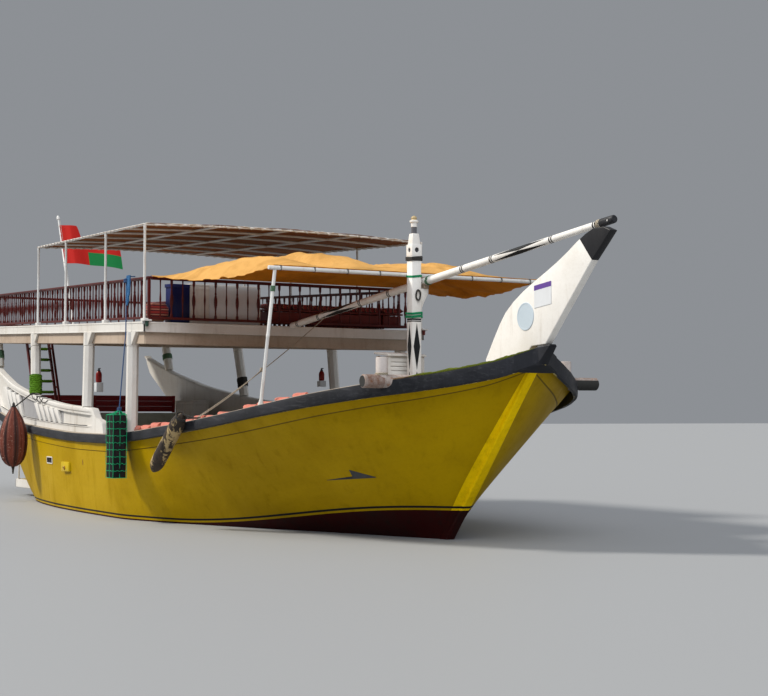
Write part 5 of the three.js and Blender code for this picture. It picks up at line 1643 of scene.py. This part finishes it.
def make_flag():
    low, high = staff_at(5.16), staff_at(8.98)
    long = (high - low).length
    profile = [(0, 0.05), (0.03, 0.05), (0.035, 0.045)]
    for d in (1.1, 2.3, 3.5):
        thin, ring = 0.045 - 0.005 * d, 0.052 - 0.005 * d
        profile += [(d, thin), (d + 0.01, ring), (d + 0.07, ring), (d + 0.08, thin)]
    profile += [(long - 0.1, 0.026), (long - 0.09, 0.05), (long - 0.03, 0.056), (long + 0.03, 0.04),
                (long + 0.06, 0.015)]
    piece_is(turned(low, high, profile, 18), "staff", PIPE_WHITE, node="flagpole")
    outs, ups = [FLY * i / 54 for i in range(55)], [j / 32 for j in range(33)]
    sheet = sheet_of([[flag_point(out, v) for v in ups] for out in outs], 0.006,
                     chart=[[(out, v * HOIST) for v in ups] for out in outs])
    piece_is(sheet, "flag_sheet", flag_material(), node="flag")
    halyard = [tube([staff_at(z) + Vector((0.055 * cos(a), 0.055 * sin(a), 0))
                     for a in angles(10, over=1)], 0.006, 5) for z in (7.42, 8.05, 8.66)]
    halyard.append(tube([staff_at(z) + Vector((0.07, 0.03, 0)) for z in (5.9, 6.8, 7.7, 8.85)], 0.005, 5))
    cords = piece_is(joined(halyard), "flag_halyard", CORD_WHITE)


make_flag()


# Swim platform and its rail
def make_platform():
    edge = -9.5
    boards = [slab(x, min(x + 0.125, edge), -2.28, 2.28, 0.455, 0.478)
              for x in [-11.88 + 0.135 * i for i in range(18)] if x <= edge - 0.03]
    beams = [slab(-11.86, -9.45, y, y + 0.12, 0.25, 0.452) for y in (-2.2, -1.1, -0.06, 0.98, 2.08)]
    rim = [slab(-11.9, -11.86, -2.3, 2.3, 0.24, 0.485), slab(-11.9, -9.32, -2.3, -2.26, 0.24, 0.485),
           slab(-11.9, -9.32, 2.26, 2.3, 0.24, 0.485)]
    pieces = [painted(timbers(blocks, bevel), coat)
              for blocks, bevel, coat in ((boards, 0.006, YELLOW), (beams, 0.01, YELLOW), (rim, 0.01, WHITE))]
    piece_is(joined(pieces), "platform_boards", None, node="swim_platform")
    places = (-2.22, -1.48, -0.74, 0.74, 1.48, 2.22)
    bars = [slab(-11.862, -11.818, y - 0.022, y + 0.022, 0.48, 1.38) for y in places]
    bars += [slab(-11.86, -11.82, -2.24, 2.24, 0.48 + z, 0.52 + z) for z in (0.43, 0.88)]
    bars += [slab(-11.88, -11.8, y - 0.045, y + 0.045, 0.48, 0.492) for y in places]
    piece_is(timbers(bars, 0.006), "platform_rail", PIPE_WHITE, node="swim_rail")


make_platform()


# Seats
def inner_line(x):
    return inside_half(x, MAIN_DECK) + 0.005


def bench(side, x0, x1, steps):
    """A bench along the bulwark: legs, a slatted front and a seat of long boards."""
    high, near, far = 1.8, 0.06, 0.56
    pitch = (high - MAIN_DECK - 0.06) / 6
    inward = lambda x, y, z: (x, side * (inner_line(x) - y), z)
    blocks = []
    for i in range(steps):
        a, b = between(x0, x1, i / steps), between(x0, x1, (i + 1) / steps)
        blocks += [prism(inward, (a, b), (between(near, far, k / 4), between(near, far, (k + 0.93) / 4)),
                         (high - 0.035, high)) for k in range(4)]
        blocks += [prism(inward, (a, b), (far - 0.06, far - 0.02),
                         (MAIN_DECK + 0.02 + k * pitch, MAIN_DECK + 0.012 + (k + 1) * pitch))
                   for k in range(6)]
        count = max(2, round((b - a) / 0.11))
        for k in range(count):
            x = between(a, b, (k + 0.5) / count)
            y = side * (inner_line(x) - far + 0.035)
            blocks.append(slab(x - 0.04, x + 0.04, y - 0.01, y + 0.01, MAIN_DECK + 0.03, high - 0.04))
    for x in (x0 + 0.02, x1 - 0.02):
        ends = sorted((side * (inner_line(x) - near), side * (inner_line(x) - far + 0.02)))
        blocks.append(slab(x - 0.02, x + 0.02, *ends, MAIN_DECK, high - 0.035))
    return timbers(blocks, 0.005)


def divided_cube(cuts):
    bpy.ops.mesh.primitive_cube_add(size=1)
    piece = bpy.context.object
    edit(piece)
    bpy.ops.mesh.subdivide(number_cuts=cuts)
    done()
    return piece


def pillow(wide, long, high, seed=0.0):
    """A sewn pad: a smaller block swollen as cloth, with its seam at mid height and creases."""
    piece = divided_cube(13)
    for vertex in piece.data.vertices:
        x, y, z = vertex.co
        fullness = (1 - (2 * abs(x)) ** 4) * (1 - (2 * abs(y)) ** 4)
        swell = 0.36 + 0.5 * sqrt(max(0, fullness))
        vertex.co = (x * wide * 0.95, y * long * 0.95, z * swell * high * 0.9)
    piece.data.update()
    swell_as_cloth(piece, seed)
    for vertex in piece.data.vertices:
        x, y, z = vertex.co
        near = clamp(1 - abs(abs(x / wide) - 0.5) * 9) + clamp(1 - abs(abs(y / long) - 0.5) * 9)
        crease = 0.014 * rough(x * 9 + seed, y * 9, z * 3 + seed * 2)
        crease += 0.006 * rough(x * 22, y * 30 + seed, z * 8)
        z += copysign(crease, z) * (1 if abs(z) > 0.01 else 0)
        vertex.co = (x, y, z * (1 - 0.12 * clamp(near)))
    piece.data.update()
    fit = [max(abs(v.co[i]) for v in piece.data.vertices) for i in range(3)]
    piece.data.transform(Matrix.Diagonal((wide / 2 / fit[0], long / 2 / fit[1], high / 2 / fit[2], 1)))
    return piece


def swell_as_cloth(piece, seed):
    """Blows a pad up as cloth for twenty steps and keeps at most 30 mm of the move."""
    before = [v.co.copy() for v in piece.data.vertices]
    swelling = piece.modifiers.new("swelling", "CLOTH")
    swelling.settings.use_pressure = True
    swelling.settings.uniform_pressure_force = 4
    swelling.settings.effector_weights.gravity = 0
    swelling.settings.tension_stiffness = 12
    swelling.settings.shrink_min = -0.03 - 0.01 * sin(seed)
    for step in range(1, 21):
        bpy.context.scene.frame_set(step)
    pick(piece)
    bpy.ops.object.modifier_apply(modifier="swelling")
    bpy.context.scene.frame_set(1)
    for vertex, start in zip(piece.data.vertices, before):
        move = vertex.co - start
        vertex.co = start + move * min(1, 0.03 / max(move.length, 1e-6))


def piped(wide, long, high, seed):
    """A pad with the corded seam round its waist."""
    pad = pillow(wide, long, high, seed)
    corners = []
    for a in angles(48):
        c, s = cos(a), sin(a)
        reach = (abs(c) ** 7 + abs(s) ** 7) ** (-1 / 7)
        corners.append(Vector((c * reach * wide / 2 * 0.985, s * reach * long / 2 * 0.985, 0)))
    return joined([pad, tube([*corners, corners[0]], 0.007, 6)])


def cushion_cloth(name, colour, worn, stripes=(), pitch=0.05, level=False):
    """Cushion cover, striped where stripes are given: each is (from, to, colour) of the pitch."""
    material, tree = new_material(name, Sheen_Weight=0.3)
    weave = use(tree, CLOTH, Cloth=colour, Worn=worn, Threads=700.0, Stains=0.5)
    shade = weave["Color"]
    if stripes:
        x, y, z = parts(object_place(tree))
        turn = (z if level else x + y) / pitch
        shade = bands_over(shade, turn.calc("FRACT", turn), stripes)
    return surface_of(material, weave, 0.5, 0.02, shade)


COVER_RED, COVER_DARK = ((0.33, 0.025, 0.02), (0.2, 0.02, 0.02)), (0.02, 0.015, 0.02)
SALMON = cushion_cloth("salmon_cover", (0.62, 0.16, 0.1), (0.42, 0.1, 0.07))
STRIPED = cushion_cloth("striped_cover", *COVER_RED, [
    (0.5, 0.72, COVER_DARK), (0.8, 0.86, (0.5, 0.36, 0.2))], 0.13)
STRIPED_ACROSS = cushion_cloth("striped_across", *COVER_RED, [
    (0.1, 0.25, COVER_DARK), (0.4, 0.5, (0.42, 0.32, 0.2)), (0.62, 0.72, COVER_DARK)], 0.12, True)


def row_of(models, places):
    """Copies of a few model pads, one at each place, joined."""
    pads = []
    for i, place in enumerate(places):
        model = models[i % len(models)]
        pad = model.copy()
        pad.data = model.data.copy()
        bpy.context.collection.objects.link(pad)
        pad.data.transform(place)
        pads.append(pad)
    for model in models:
        bpy.data.objects.remove(model)
    return joined(pads)


def cushions_are(piece, name, material, node):
    piece_is(piece, name, material, node=node, smooth=1.2)


def make_main_deck_seats():
    piece_is(bench(-1, 0.6, 6.4, 6), "seat_starboard", WHITE, node="bench_starboard")
    piece_is(bench(1, -8.3, 1.5, 10), "seat_port", MAROON_WOOD, node="bench_port")
    places = []
    for i in range(15):
        x = 0.83 + 0.518 * i
        low = 1.8 if x < 6.5 else foredeck_top(x) + 0.01
        high = rail_top(x) + 0.14 + 0.02 * sin(i * 2.9)
        foot, head = inside_half(x, low), inside_half(x, rail_top(x)) + 0.095
        middle = Vector((x, -(foot - 0.125 + head - 0.09) / 2 + 0.01 * sin(i * 3.1), (low + high) / 2))
        lean = atan2(head - foot + 0.03, high - low) + 0.03 * sin(i * 2.3)
        places.append(Matrix.Translation(middle) @ Matrix.Rotation(lean, 4, "X")
                      @ Matrix.Diagonal((1, 1, (high - low) / 0.62, 1)) @ Matrix.Rotation(-pi / 2, 4, "X")
                      @ Matrix.Rotation(0.03 * sin(i * 1.7), 4, "Z"))
    row = row_of([piped(0.53, 0.61, 0.2, k * 1.3) for k in range(3)], places)
    cushions_are(row, "cushions_starboard", SALMON, "cushion_starboard")
    places = [Matrix.Translation((x, inner_line(x) - 0.245, 1.868))
              for x in [-2.72 + 0.557 * i for i in range(8)]]
    row = row_of([piped(0.55, 0.36, 0.13, k * 1.9 + 5) for k in range(2)], places)
    cushions_are(row, "cushions_port", SALMON, "cushion_port")


def tilted(piece):
    """Shears a piece modelled on a level deck to the upper deck's rise."""
    lift = Matrix.Identity(4)
    lift[2][0] = -UPPER_SLOPE
    lift[2][3] = UPPER_HEIGHT + UPPER_SLOPE * UPPER_FRONT
    piece.data.transform(lift)
    return piece


def make_upper_seats():
    blocks = []
    crosswise = lambda u0, u1, v0, v1, z0, z1: slab(v0, v1, u0, u1, z0, z1)
    for lay, u0, u1, v0, v1 in ((slab, -2.25, 1.95, 2.56, 3.12), (crosswise, -0.48, 2.56, 1.33, 1.95)):
        blocks.append(lay(u0 + 0.04, u1 - 0.04, v0 + 0.04, v1 - 0.04, 0.06, 0.34))
        wide = (v1 - v0) / 4
        blocks += [lay(u0, u1, v0 + wide * k, v0 + wide * (k + 0.94), 0.36, 0.4) for k in range(4)]
        count = round((u1 - u0) / 0.12)
        for k in range(count):
            u = between(u0, u1, (k + 0.5) / count)
            blocks.append(lay(u - 0.035, u + 0.035, v0 + 0.01, v0 + 0.04, 0.02, 0.36))
    piece_is(tilted(timbers(blocks, 0.006)), "upper_seat", MAROON_WOOD, node="upper_bench")
    places = [Matrix.Translation((-1.92 + 0.595 * i, 2.85, 0.47)) for i in range(7)]
    places += [Matrix.Translation((1.65, -0.18 + 0.6 * i, 0.47)) @ Matrix.Rotation(pi / 2, 4, "Z")
               for i in range(5)]
    row = row_of([piped(0.59, 0.56, 0.14, k * 2.1) for k in range(2)], places)
    cushions_are(tilted(row), "upper_cushions", STRIPED, "upper_cushion")
    pad = pillow(0.47, 0.45, 0.47, 3.3)
    for vertex in pad.data.vertices:
        x, y, z = vertex.co
        if z > 0:
            vertex.co.z = z * (0.86 + 0.1 * (x / 0.235) ** 2 + 0.12 * (y / 0.225) ** 2)
    pad.data.transform(Matrix.Translation((1.64, -3.16, 0.245)) @ Matrix.Diagonal((1.04, 1.14, 1.06, 1)))
    cushions_are(tilted(pad), "corner_pillow", STRIPED_ACROSS, "corner_cushion")


def make_counter():
    x0, x1, y0, y1, high = 1.46, 1.88, -2.42, -0.67, 0.9
    top = high - 0.04
    blocks = [slab(x0 + 0.03, x1 - 0.03, y0 + 0.03, y1 - 0.03, 0.0, top), slab(x0, x1, y0, y1, top, high)]
    blocks += [slab(*xs, y, y + 0.07, 0, top) for y in (y0, -1.85, -1.28, y1 - 0.07)
               for xs in ((x1 - 0.035, x1 - 0.01), (x0 + 0.01, x0 + 0.035))]
    blocks += [slab(x1 - 0.035, x1 - 0.012, y0 + 0.01, y1 - 0.01, z, z + 0.08) for z in (0.0, high - 0.12)]
    body = painted(timbers(blocks, 0.008), WHITE)
    low = [slab(x0 + 0.02, x1 - 0.02, -2.85, -2.425, 0.02, 0.84), slab(x0, x1, -2.87, -2.423, 0.8, 0.88),
           slab(x0 + 0.05, x1 - 0.05, -2.83, -2.43, 0.0, 0.03)]
    low += [slab(x1 - 0.022, x1 - 0.008, y, y + 0.03, 0.08, 0.78) for y in (-2.83, -2.74, -2.65, -2.56, -2.47)]
    tub = painted(timbers(low, 0.02, 2), NAVY)
    board = painted(timbers([slab(x1 - 0.012, x1 + 0.004, -1.95, -0.72, 0.03, 0.87)], 0.002), PANEL_WHITE)
    piece_is(tilted(joined([body, tub, board])), "counter_panelled", None, node="counter")


def make_stern_rail():
    places = (-2.6, -1.32, 0, 1.32, 2.6)
    blocks = [slab(-11.44, -11.38, -2.64, 2.64, z, z + 0.164) for z in (2.52, 2.686, 2.852)]
    blocks += [slab(-11.46, -11.36, y - 0.04, y + 0.04, rail_top(-11.41) + 0.001, 3.02) for y in places]
    bolts = [turned((-11.352, y, z), (-11.362, y, z), [(0, 0.009), (0.01, 0.009)], 8)
             for y in places for z in (2.6, 2.77, 2.94)]
    rail = painted(timbers(blocks, 0.008, 2), STERN_RED)
    piece_is(joined([rail, painted(joined(bolts), BRONZE)]), "stern_boards", None,
             node="stern_rail")


def make_locker():
    x0, x1, y0, y1, z0, z1 = -9.8, -8.45, 2.0, 2.54, 1.18, 2.85
    foot, top = z0 + 0.09, z1 - 0.04
    blocks = [slab(x0 + 0.025, x1 - 0.025, y0 + 0.025, y1 - 0.005, z0, top), slab(x0, x1, y0, y1, top, z1),
              slab(x0 + 0.01, x1 - 0.01, y0 + 0.01, y1 - 0.005, z0, foot)]
    blocks += [slab(x, x + 0.06, y0 + 0.008, y0 + 0.03, foot, top) for x in (x0 + 0.01, -9.15, x1 - 0.07)]
    blocks += [slab(x1 - 0.03, x1 - 0.006, y, y + 0.06, foot, top) for y in (y0 + 0.01, y1 - 0.07)]
    for z in (foot, 2.0, z1 - 0.12):
        blocks += [slab(x0 + 0.01, x1 - 0.01, y0 + 0.009, y0 + 0.03, z, z + 0.075),
                   slab(x1 - 0.03, x1 - 0.007, y0 + 0.01, y1 - 0.01, z, z + 0.075)]
    blocks += [slab(x, x + 0.02, y0, y0 + 0.02, 2.2, 2.32) for x in (-9.22, -9.02)]
    piece_is(timbers(blocks, 0.006), "locker_panelled", WHITE, node="locker")


make_main_deck_seats()
make_upper_seats()
make_counter()
make_stern_rail()
make_locker()


# Fenders with their lanyards
def fender_material():
    """Red-brown cover with dark seams that run down it, widened into painted shade in the grooves between its
    lobes, and pale peeled patches.
    """
    material, tree = new_material("fender_red_brown")
    base = weathered(tree, (0.17, 0.042, 0.025), (0.08, 0.022, 0.014), 0.55, 0.5, 0.75,
                     (0.42, 0.26, 0.2), 0.6, 3.0)
    # Dark stripes at the grooves between the lobes: a dark seam with painted shade widened around it.
    seam = use(tree, PLANKS, Across=chart_of(tree)[1], Width=0.295, Seam=0.3)["Seam"]
    return surface_of(material, base, 0.5, colour=mixed(seam, base["Color"], (0.03, 0.012, 0.01)))


def peeled_material():
    """Dark rubber with its paler skin left in patches about the middle."""
    material, tree = new_material("rubber_peeled")
    place = object_place(tree)
    base = weathered(tree, (0.02, 0.016, 0.013), (0.085, 0.06, 0.045), 0.75, 0.5, 0.4,
                     (0.2, 0.15, 0.1), 0.65, 2.4)
    patch = speckle(stretched(place, (2.2, 2.2, 1)), 3.4, 8, 0.66, 0.8)
    left = ramp(patch - abs(parts(place)[2] - 1.86) * 0.3, 0.42, 0.48)
    colour = mixed(left, base["Color"], (0.42, 0.31, 0.15))
    return surface_of(material, base, 0.5, colour=colour, height=base["Height"] + left)


def beside(x, out, z):
    """A point to starboard of the rail."""
    return Vector((x, -(rail_half(x) + out), z))


def make_teardrop():
    x = -7.4
    y = -(rail_half(x) + 0.475)
    profile = [(0.03, -0.83), (0.11, -0.81), (0.21, -0.745), (0.29, -0.64), (0.343, -0.5), (0.37, -0.34),
               (0.382, -0.2), (0.384, -0.05), (0.374, 0.08), (0.348, 0.22), (0.3, 0.36), (0.248, 0.5),
               (0.185, 0.61), (0.12, 0.72), (0.075, 0.79), (0.04, 0.84)]
    rows = []
    for r, z in profile:
        row = []
        for a in angles(80):
            lobe = 1 - 0.045 * abs(cos(8 * a)) ** 6 * clamp((r - 0.05) / 0.2)
            row.append(Vector((x + r * lobe * cos(a), y + r * lobe * sin(a), 1.815 + z)))
        rows.append(row)
    drop = skin(rows, ring=True, ends=True)
    piece_is(drop, "fender_teardrop", fender_material(), node="fender_drop")
    hook_x = -6.93
    hook = beside(hook_x, 0.09, wing_top(hook_x) + 0.04)
    turns = []
    for start, end, drop_by in ((0.3, 0.95, 0.13), (0.62, 1.5, 0.09), (-0.25, 0.42, 0.1)):
        a, b = [Vector((px, -(wing_half(px) + 0.055), wing_top(px) - 0.01))
                for px in (hook_x + start, hook_x + end)]
        cap = [Vector((p.x, p.y + 0.2, wing_top(p.x) + 0.012)) for p in (a, b)]
        turns.append(tube([cap[0], a + UP * 0.012, *sag(a, b, drop_by, 10), b + UP * 0.012, cap[1]], 0.011, 6))
    tail = tube([Vector((x, y, 1.0)), Vector((x + 0.01, y, 0.92)), Vector((x, y, 0.8))], [0.05, 0.03, 0.02], 10)
    piece_is(tail, "teardrop_tail", ROPE_DARK)
    turns.append(tube([Vector((x + 0.07 * cos(a), y, 2.66 + 0.07 * sin(a))) for a in angles(16, over=1)],
                      0.02, 8))
    piece_is(joined(turns), "teardrop_turns", ROPE_DARK)
    over_cap = Vector((hook_x, -3.2, wing_top(hook_x) + 0.02))
    run = eased([Vector((x, y, 2.6)), hook, hook + Vector((0, 0.06, 0.02)), over_cap], 0.03)
    working_rope(run, 0.018, "teardrop_lanyard", ROPE_DARK)
    lashing((x, y, 2.55), (x, y, 2.65), 0.055, ROPE_DARK, "teardrop_neck", 0.014)


def make_block_fender():
    x, wide, deep = 1.19, 0.46, 0.32
    y = -(rail_half(x - wide / 2) + 0.081)
    block = divided_cube(8)
    for vertex in block.data.vertices:
        px, py, pz = vertex.co
        bulge = 1 + 0.03 * rough(px * 4, py * 4, pz * 6)
        vertex.co = (x + px * wide * 0.97 * bulge, y - deep / 2 + py * deep * 0.96 * bulge, 1.6875 + pz * 1.4)
    bevelled(block, 0.05, 3, 1.0)
    piece_is(block, "fender_pad", RUBBER_DARK, node="fender_block", smooth=0.8)
    x0, x1, y0, y1 = x - wide * 0.492, x + wide * 0.492, y - deep * 0.01, y - deep * 0.99
    corners = [Vector((px, py, 0)) for px, py in ((x0, y0), (x1, y0), (x1, y1), (x0, y1), (x0, y0))]
    around = [a.lerp(b, i / 6) for a, b in zip(corners, corners[1:]) for i in range(6)]
    net = []
    for k in range(10):
        z = 0.99 + 0.1555 * k
        net.append(tube([Vector((p.x, p.y, z + 0.014 * sin(3.1 * i + k) * (0 < k < 9)))
                         for i, p in enumerate([*around, around[0]])], 0.007, 5))
    for k in range(0, 24, 3):
        p = around[k]
        net.append(tube([Vector((p.x + 0.012 * sin(k + m), p.y, between(0.99, 2.39, m / 18)))
                         for m in range(19)], 0.007, 5))
    gather = Vector((x, y - 0.1, 2.5))
    net += [tube([Vector((p.x, p.y, 2.385)), p.lerp(gather, 0.5) + UP * 1.175, gather], 0.012, 5)
            for p in around[::3]]
    piece_is(joined(net), "fender_net", NET_GREEN)
    lashing(gather - UP * 0.05, gather + UP * 0.05, 0.04, ROPE_BLUE, "net_gather", 0.014)
    rise = Vector((x, -3.68, upper_top(x) - 0.22))
    top = Vector((x, -3.68, upper_top(x) + 1.025))
    inboard = Vector((x, -upper_half(x) + 0.1, top.z + 0.01))
    working_rope(eased([gather, rise, top, inboard]), 0.013, "pad_lanyard", ROPE_BLUE)
    bundle = []
    for k in range(7):
        swing = 0.05 * sin(2.3 * k)
        hang = sag(top + Vector((-0.1 + 0.02 * k, 0.03 - 0.01 * (k % 3), 0.02)),
                   top + Vector((0.08 - 0.02 * k, 0.02, 0.02)), 0.24 + 0.07 * ((k * 3) % 7), 16)
        bundle.append(tube([p + AHEAD * (0.09 + swing * sin(5 * p.z + k)) for p in hang], 0.02, 6))
    piece_is(joined(bundle), "pad_lanyard_bundle", ROPE_SKY)
    lashing(top - UP * 0.14, top - UP * 0.05, 0.05, ROPE_BLUE, "pad_lanyard_turns", 0.014)


def make_log_fender():
    top, foot = beside(4.68, 0.25, 2.4), beside(3.3, 0.26, 1.2)
    long = (top - foot).length
    log = turned(foot, top, [
        (0, 0.03), (0.02, 0.05), (0.08, 0.09), (0.16, 0.128), (0.26, 0.15), (0.5, 0.157), (0.9, 0.154),
        (long - 0.28, 0.156), (long - 0.2, 0.14), (long - 0.12, 0.11), (long - 0.05, 0.072), (long, 0.03)], 28)
    piece_is(log, "fender_roller", peeled_material(), node="fender_log")
    hook = beside(4.86, 0.1, rail_top(4.86) + 0.022)
    over_rail = Vector((4.86, -3.42, rail_top(4.86) + 0.018))
    run = eased([top, hook, hook + Vector((0, 0.1, 0.0)), over_rail], 0.03)
    working_rope(run, 0.018, "roller_lanyard", ROPE_DARK)
    lashing(top.lerp(foot, 0.03), top.lerp(foot, 0.07), 0.11, ROPE_DARK, "roller_neck", 0.012)


make_teardrop()
make_block_fender()
make_log_fender()


# Fittings: line to the yard, lights, extinguishers, openings in the side and the engine
def make_yard_line():
    foot, head = beside(4.66, -0.05, rail_top(4.66) + 0.03), yard_at(-3.8) - UP * 0.02
    points = sag(foot, head, 0.09, 40)
    middle = foot.lerp(head, 0.48)
    knot = turned(middle - UP * 0.11, middle - UP * 0.02, [(0, 0.03), (0.03, 0.045), (0.09, 0.03)], 10)
    second = tube(sag(foot + Vector((0.09, 0, 0.01)), foot.lerp(head, 0.47) - UP * 0.07, 0.05, 20), 0.009, 6)
    for piece, name in ((joined([second, knot]), "yard_line_turns"), (tube(points, 0.009, 8), "yard_line")):
        piece.name = name
        painted(piece, ROPE_PALE)
        bpy.ops.object.shade_smooth()
        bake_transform(piece)
    fast_cord(piece, points)


def lens_material(name, glow):
    """Ribbed coloured glass."""
    material, tree = new_material(name, Roughness=0.12)
    height = parts(object_place(tree))[2] * 420.0
    rib = height.calc("SINE", height)
    return surface(material, mixed((rib + 1.0) * 0.1, glow, (0.3, 0.35, 0.3)), None, rib, 0.3, 0.004)


def make_lights():
    for (side, name), glow in zip(SIDES, ((0.004, 0.05, 0.03), (0.16, 0.01, 0.01))):
        x, y, z = 2.16, side * (upper_half(2.05) - 0.05), upper_top(2.1) - 0.03
        back = timbers([slab(2.1, 2.12, y - 0.09, y + 0.09, z - 0.02, z + 0.08),
                        slab(2.1, 2.25, y - 0.09, y + 0.09, z + 0.045, z + 0.08)], 0.006)
        piece_is(back, f"light_bracket_{name}", PIPE_WHITE)
        lens = turned((x + 0.02, y, z - 0.075), (x + 0.02, y, z + 0.046), [
            (0, 0.02), (0.012, 0.034), (0.02, 0.038), (0.09, 0.038), (0.1, 0.046), (0.121, 0.046)], 24)
        piece_is(lens, f"light_lens_{name}", lens_material(f"lens_{name}", glow))


def make_extinguishers():
    for x, y, z, tall, seat, name in ((-2.8, -2.9, 2.99, 0.52, 0.21, "starboard"),
                                      (-2.19, 3.06, 3.17, 0.42, 0.135, "port")):
        straight, top = tall - seat, z + tall
        bottle = turned((x, y, z + seat + 0.005), (x, y, top), [
            (0, 0.06), (0.015, 0.072), (0.04, 0.076), (straight - 0.11, 0.076), (straight - 0.06, 0.062),
            (straight - 0.03, 0.04)], 20)
        piece_is(bottle, f"extinguisher_{name}", RED_GLOSS)
        valve = turned((x, y, top - 0.03), (x, y, top + 0.05),
                       [(0, 0.04), (0.03, 0.04), (0.035, 0.025), (0.08, 0.025)], 16)
        grip = timbers([slab(x - 0.02, x + 0.09, y - 0.015, y + 0.015, top + 0.03, top + 0.055)], 0.004)
        piece_is(joined([valve, grip]), f"extinguisher_valve_{name}", STRAKE_PLAIN)
        holder = timbers([slab(x - 0.09, x + 0.09, y - 0.09, y + 0.09, z - 0.02, z + seat)], 0.008, 2)
        piece_is(holder, f"extinguisher_tray_{name}", PANEL_WHITE)


def make_side_fittings():
    """The dart painted on each bow, the framed opening, the rust mark and the outlet in each side."""
    for side, name in SIDES:
        rows = []
        for i in range(25):
            x = between(7.33, 8.47, i / 24)
            low = between(1.105, 1.19, (x - 7.31) / 1.18)
            high = (between(1.11, 1.21, (x - 7.31) / 0.74) if x < 8.03
                    else between(1.335, 1.195, (x - 8.03) / 0.46))
            high = max(high, low + 0.004)
            rows.append([on_hull(x, between(low, high, k / 3), side, 0.004) for k in range(4)])
        piece_is(sheet_of(rows, 0.003), f"dart_{name}", STRAKE_PLAIN)
        rust = [[on_hull(-2.12 + w * (1 - abs(k - 2) / 3), 1.17 + 0.035 * k, side, 0.003) for k in range(5)]
                for w in (-0.025, 0.0, 0.025)]
        piece_is(sheet_of(rust, 0.003), f"rust_mark_{name}", MAROON_WOOD)
        x0, x1, z0, z1 = -5.5, -4.92, 1.14, 1.3
        x, z, half_x, half_z = (x0 + x1) / 2, (z0 + z1) / 2, (x1 - x0) / 2, (z1 - z0) / 2
        ahead = (on_hull(x1, z, side) - on_hull(x0, z, side)).normalized()
        over = (on_hull(x, z1, side) - on_hull(x, z0, side)).normalized()
        corner = lambda u, v: on_hull(x, z, side, 0.01) + ahead * (u * half_x) + over * (v * half_z)
        bars = [bar(corner(-1, s), corner(1, s), 0.018, 0.03, over) for s in (-1, 1)]
        bars += [bar(corner(s, -1), corner(s, 1), 0.018, 0.03, ahead) for s in (-1, 1)]
        piece_is(timbers(bars, 0.005), f"port_frame_{name}", WHITE)
        pane = timbers([bar(corner(-1, 0), corner(1, 0), 0.012, 2 * half_z, over)], 0.003)
        piece_is(pane, f"port_pane_{name}", GLASS_DARK)
        y = on_hull(-3.5, 1.1, side, 0.03).y
        box = timbers([slab(-3.8, -3.2, y - 0.04, y + 0.04, 0.98, 1.22)], 0.02, 2)
        spout = turned((-3.5, y, 1.07), (-3.5, y + side * 0.09, 1.07),
                       [(0, 0.045), (0.07, 0.045), (0.075, 0.04), (0.06, 0.03)], 16)
        piece_is(box, f"outlet_box_{name}", YELLOW)
        piece_is(spout, f"outlet_pipe_{name}", BRONZE)


def make_engine():
    blocks = [slab(-5.7, -3.7, -0.4, 0.4, -0.5, 0.45), slab(-5.6, -3.8, -0.25, 0.25, 0.45, 0.66),
              slab(-5.7, -3.7, -0.45, 0.45, -0.55, -0.45)]
    blocks += [slab(x, x + 0.18, -0.2, 0.2, 0.62, 0.7) for x in [-5.5 + 0.29 * i for i in range(6)]]
    piece_is(timbers(blocks, 0.02, 2), "engine_block", ENGINE_GREEN, node="engine")


make_yard_line()
make_lights()
make_extinguishers()
make_side_fittings()
make_engine()


# The two boxes' sizes, as the script's last value
def as_lists(box):
    return [list(corner) for corner in box]


{"cad": as_lists(cad_box), "visual": as_lists(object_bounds())}
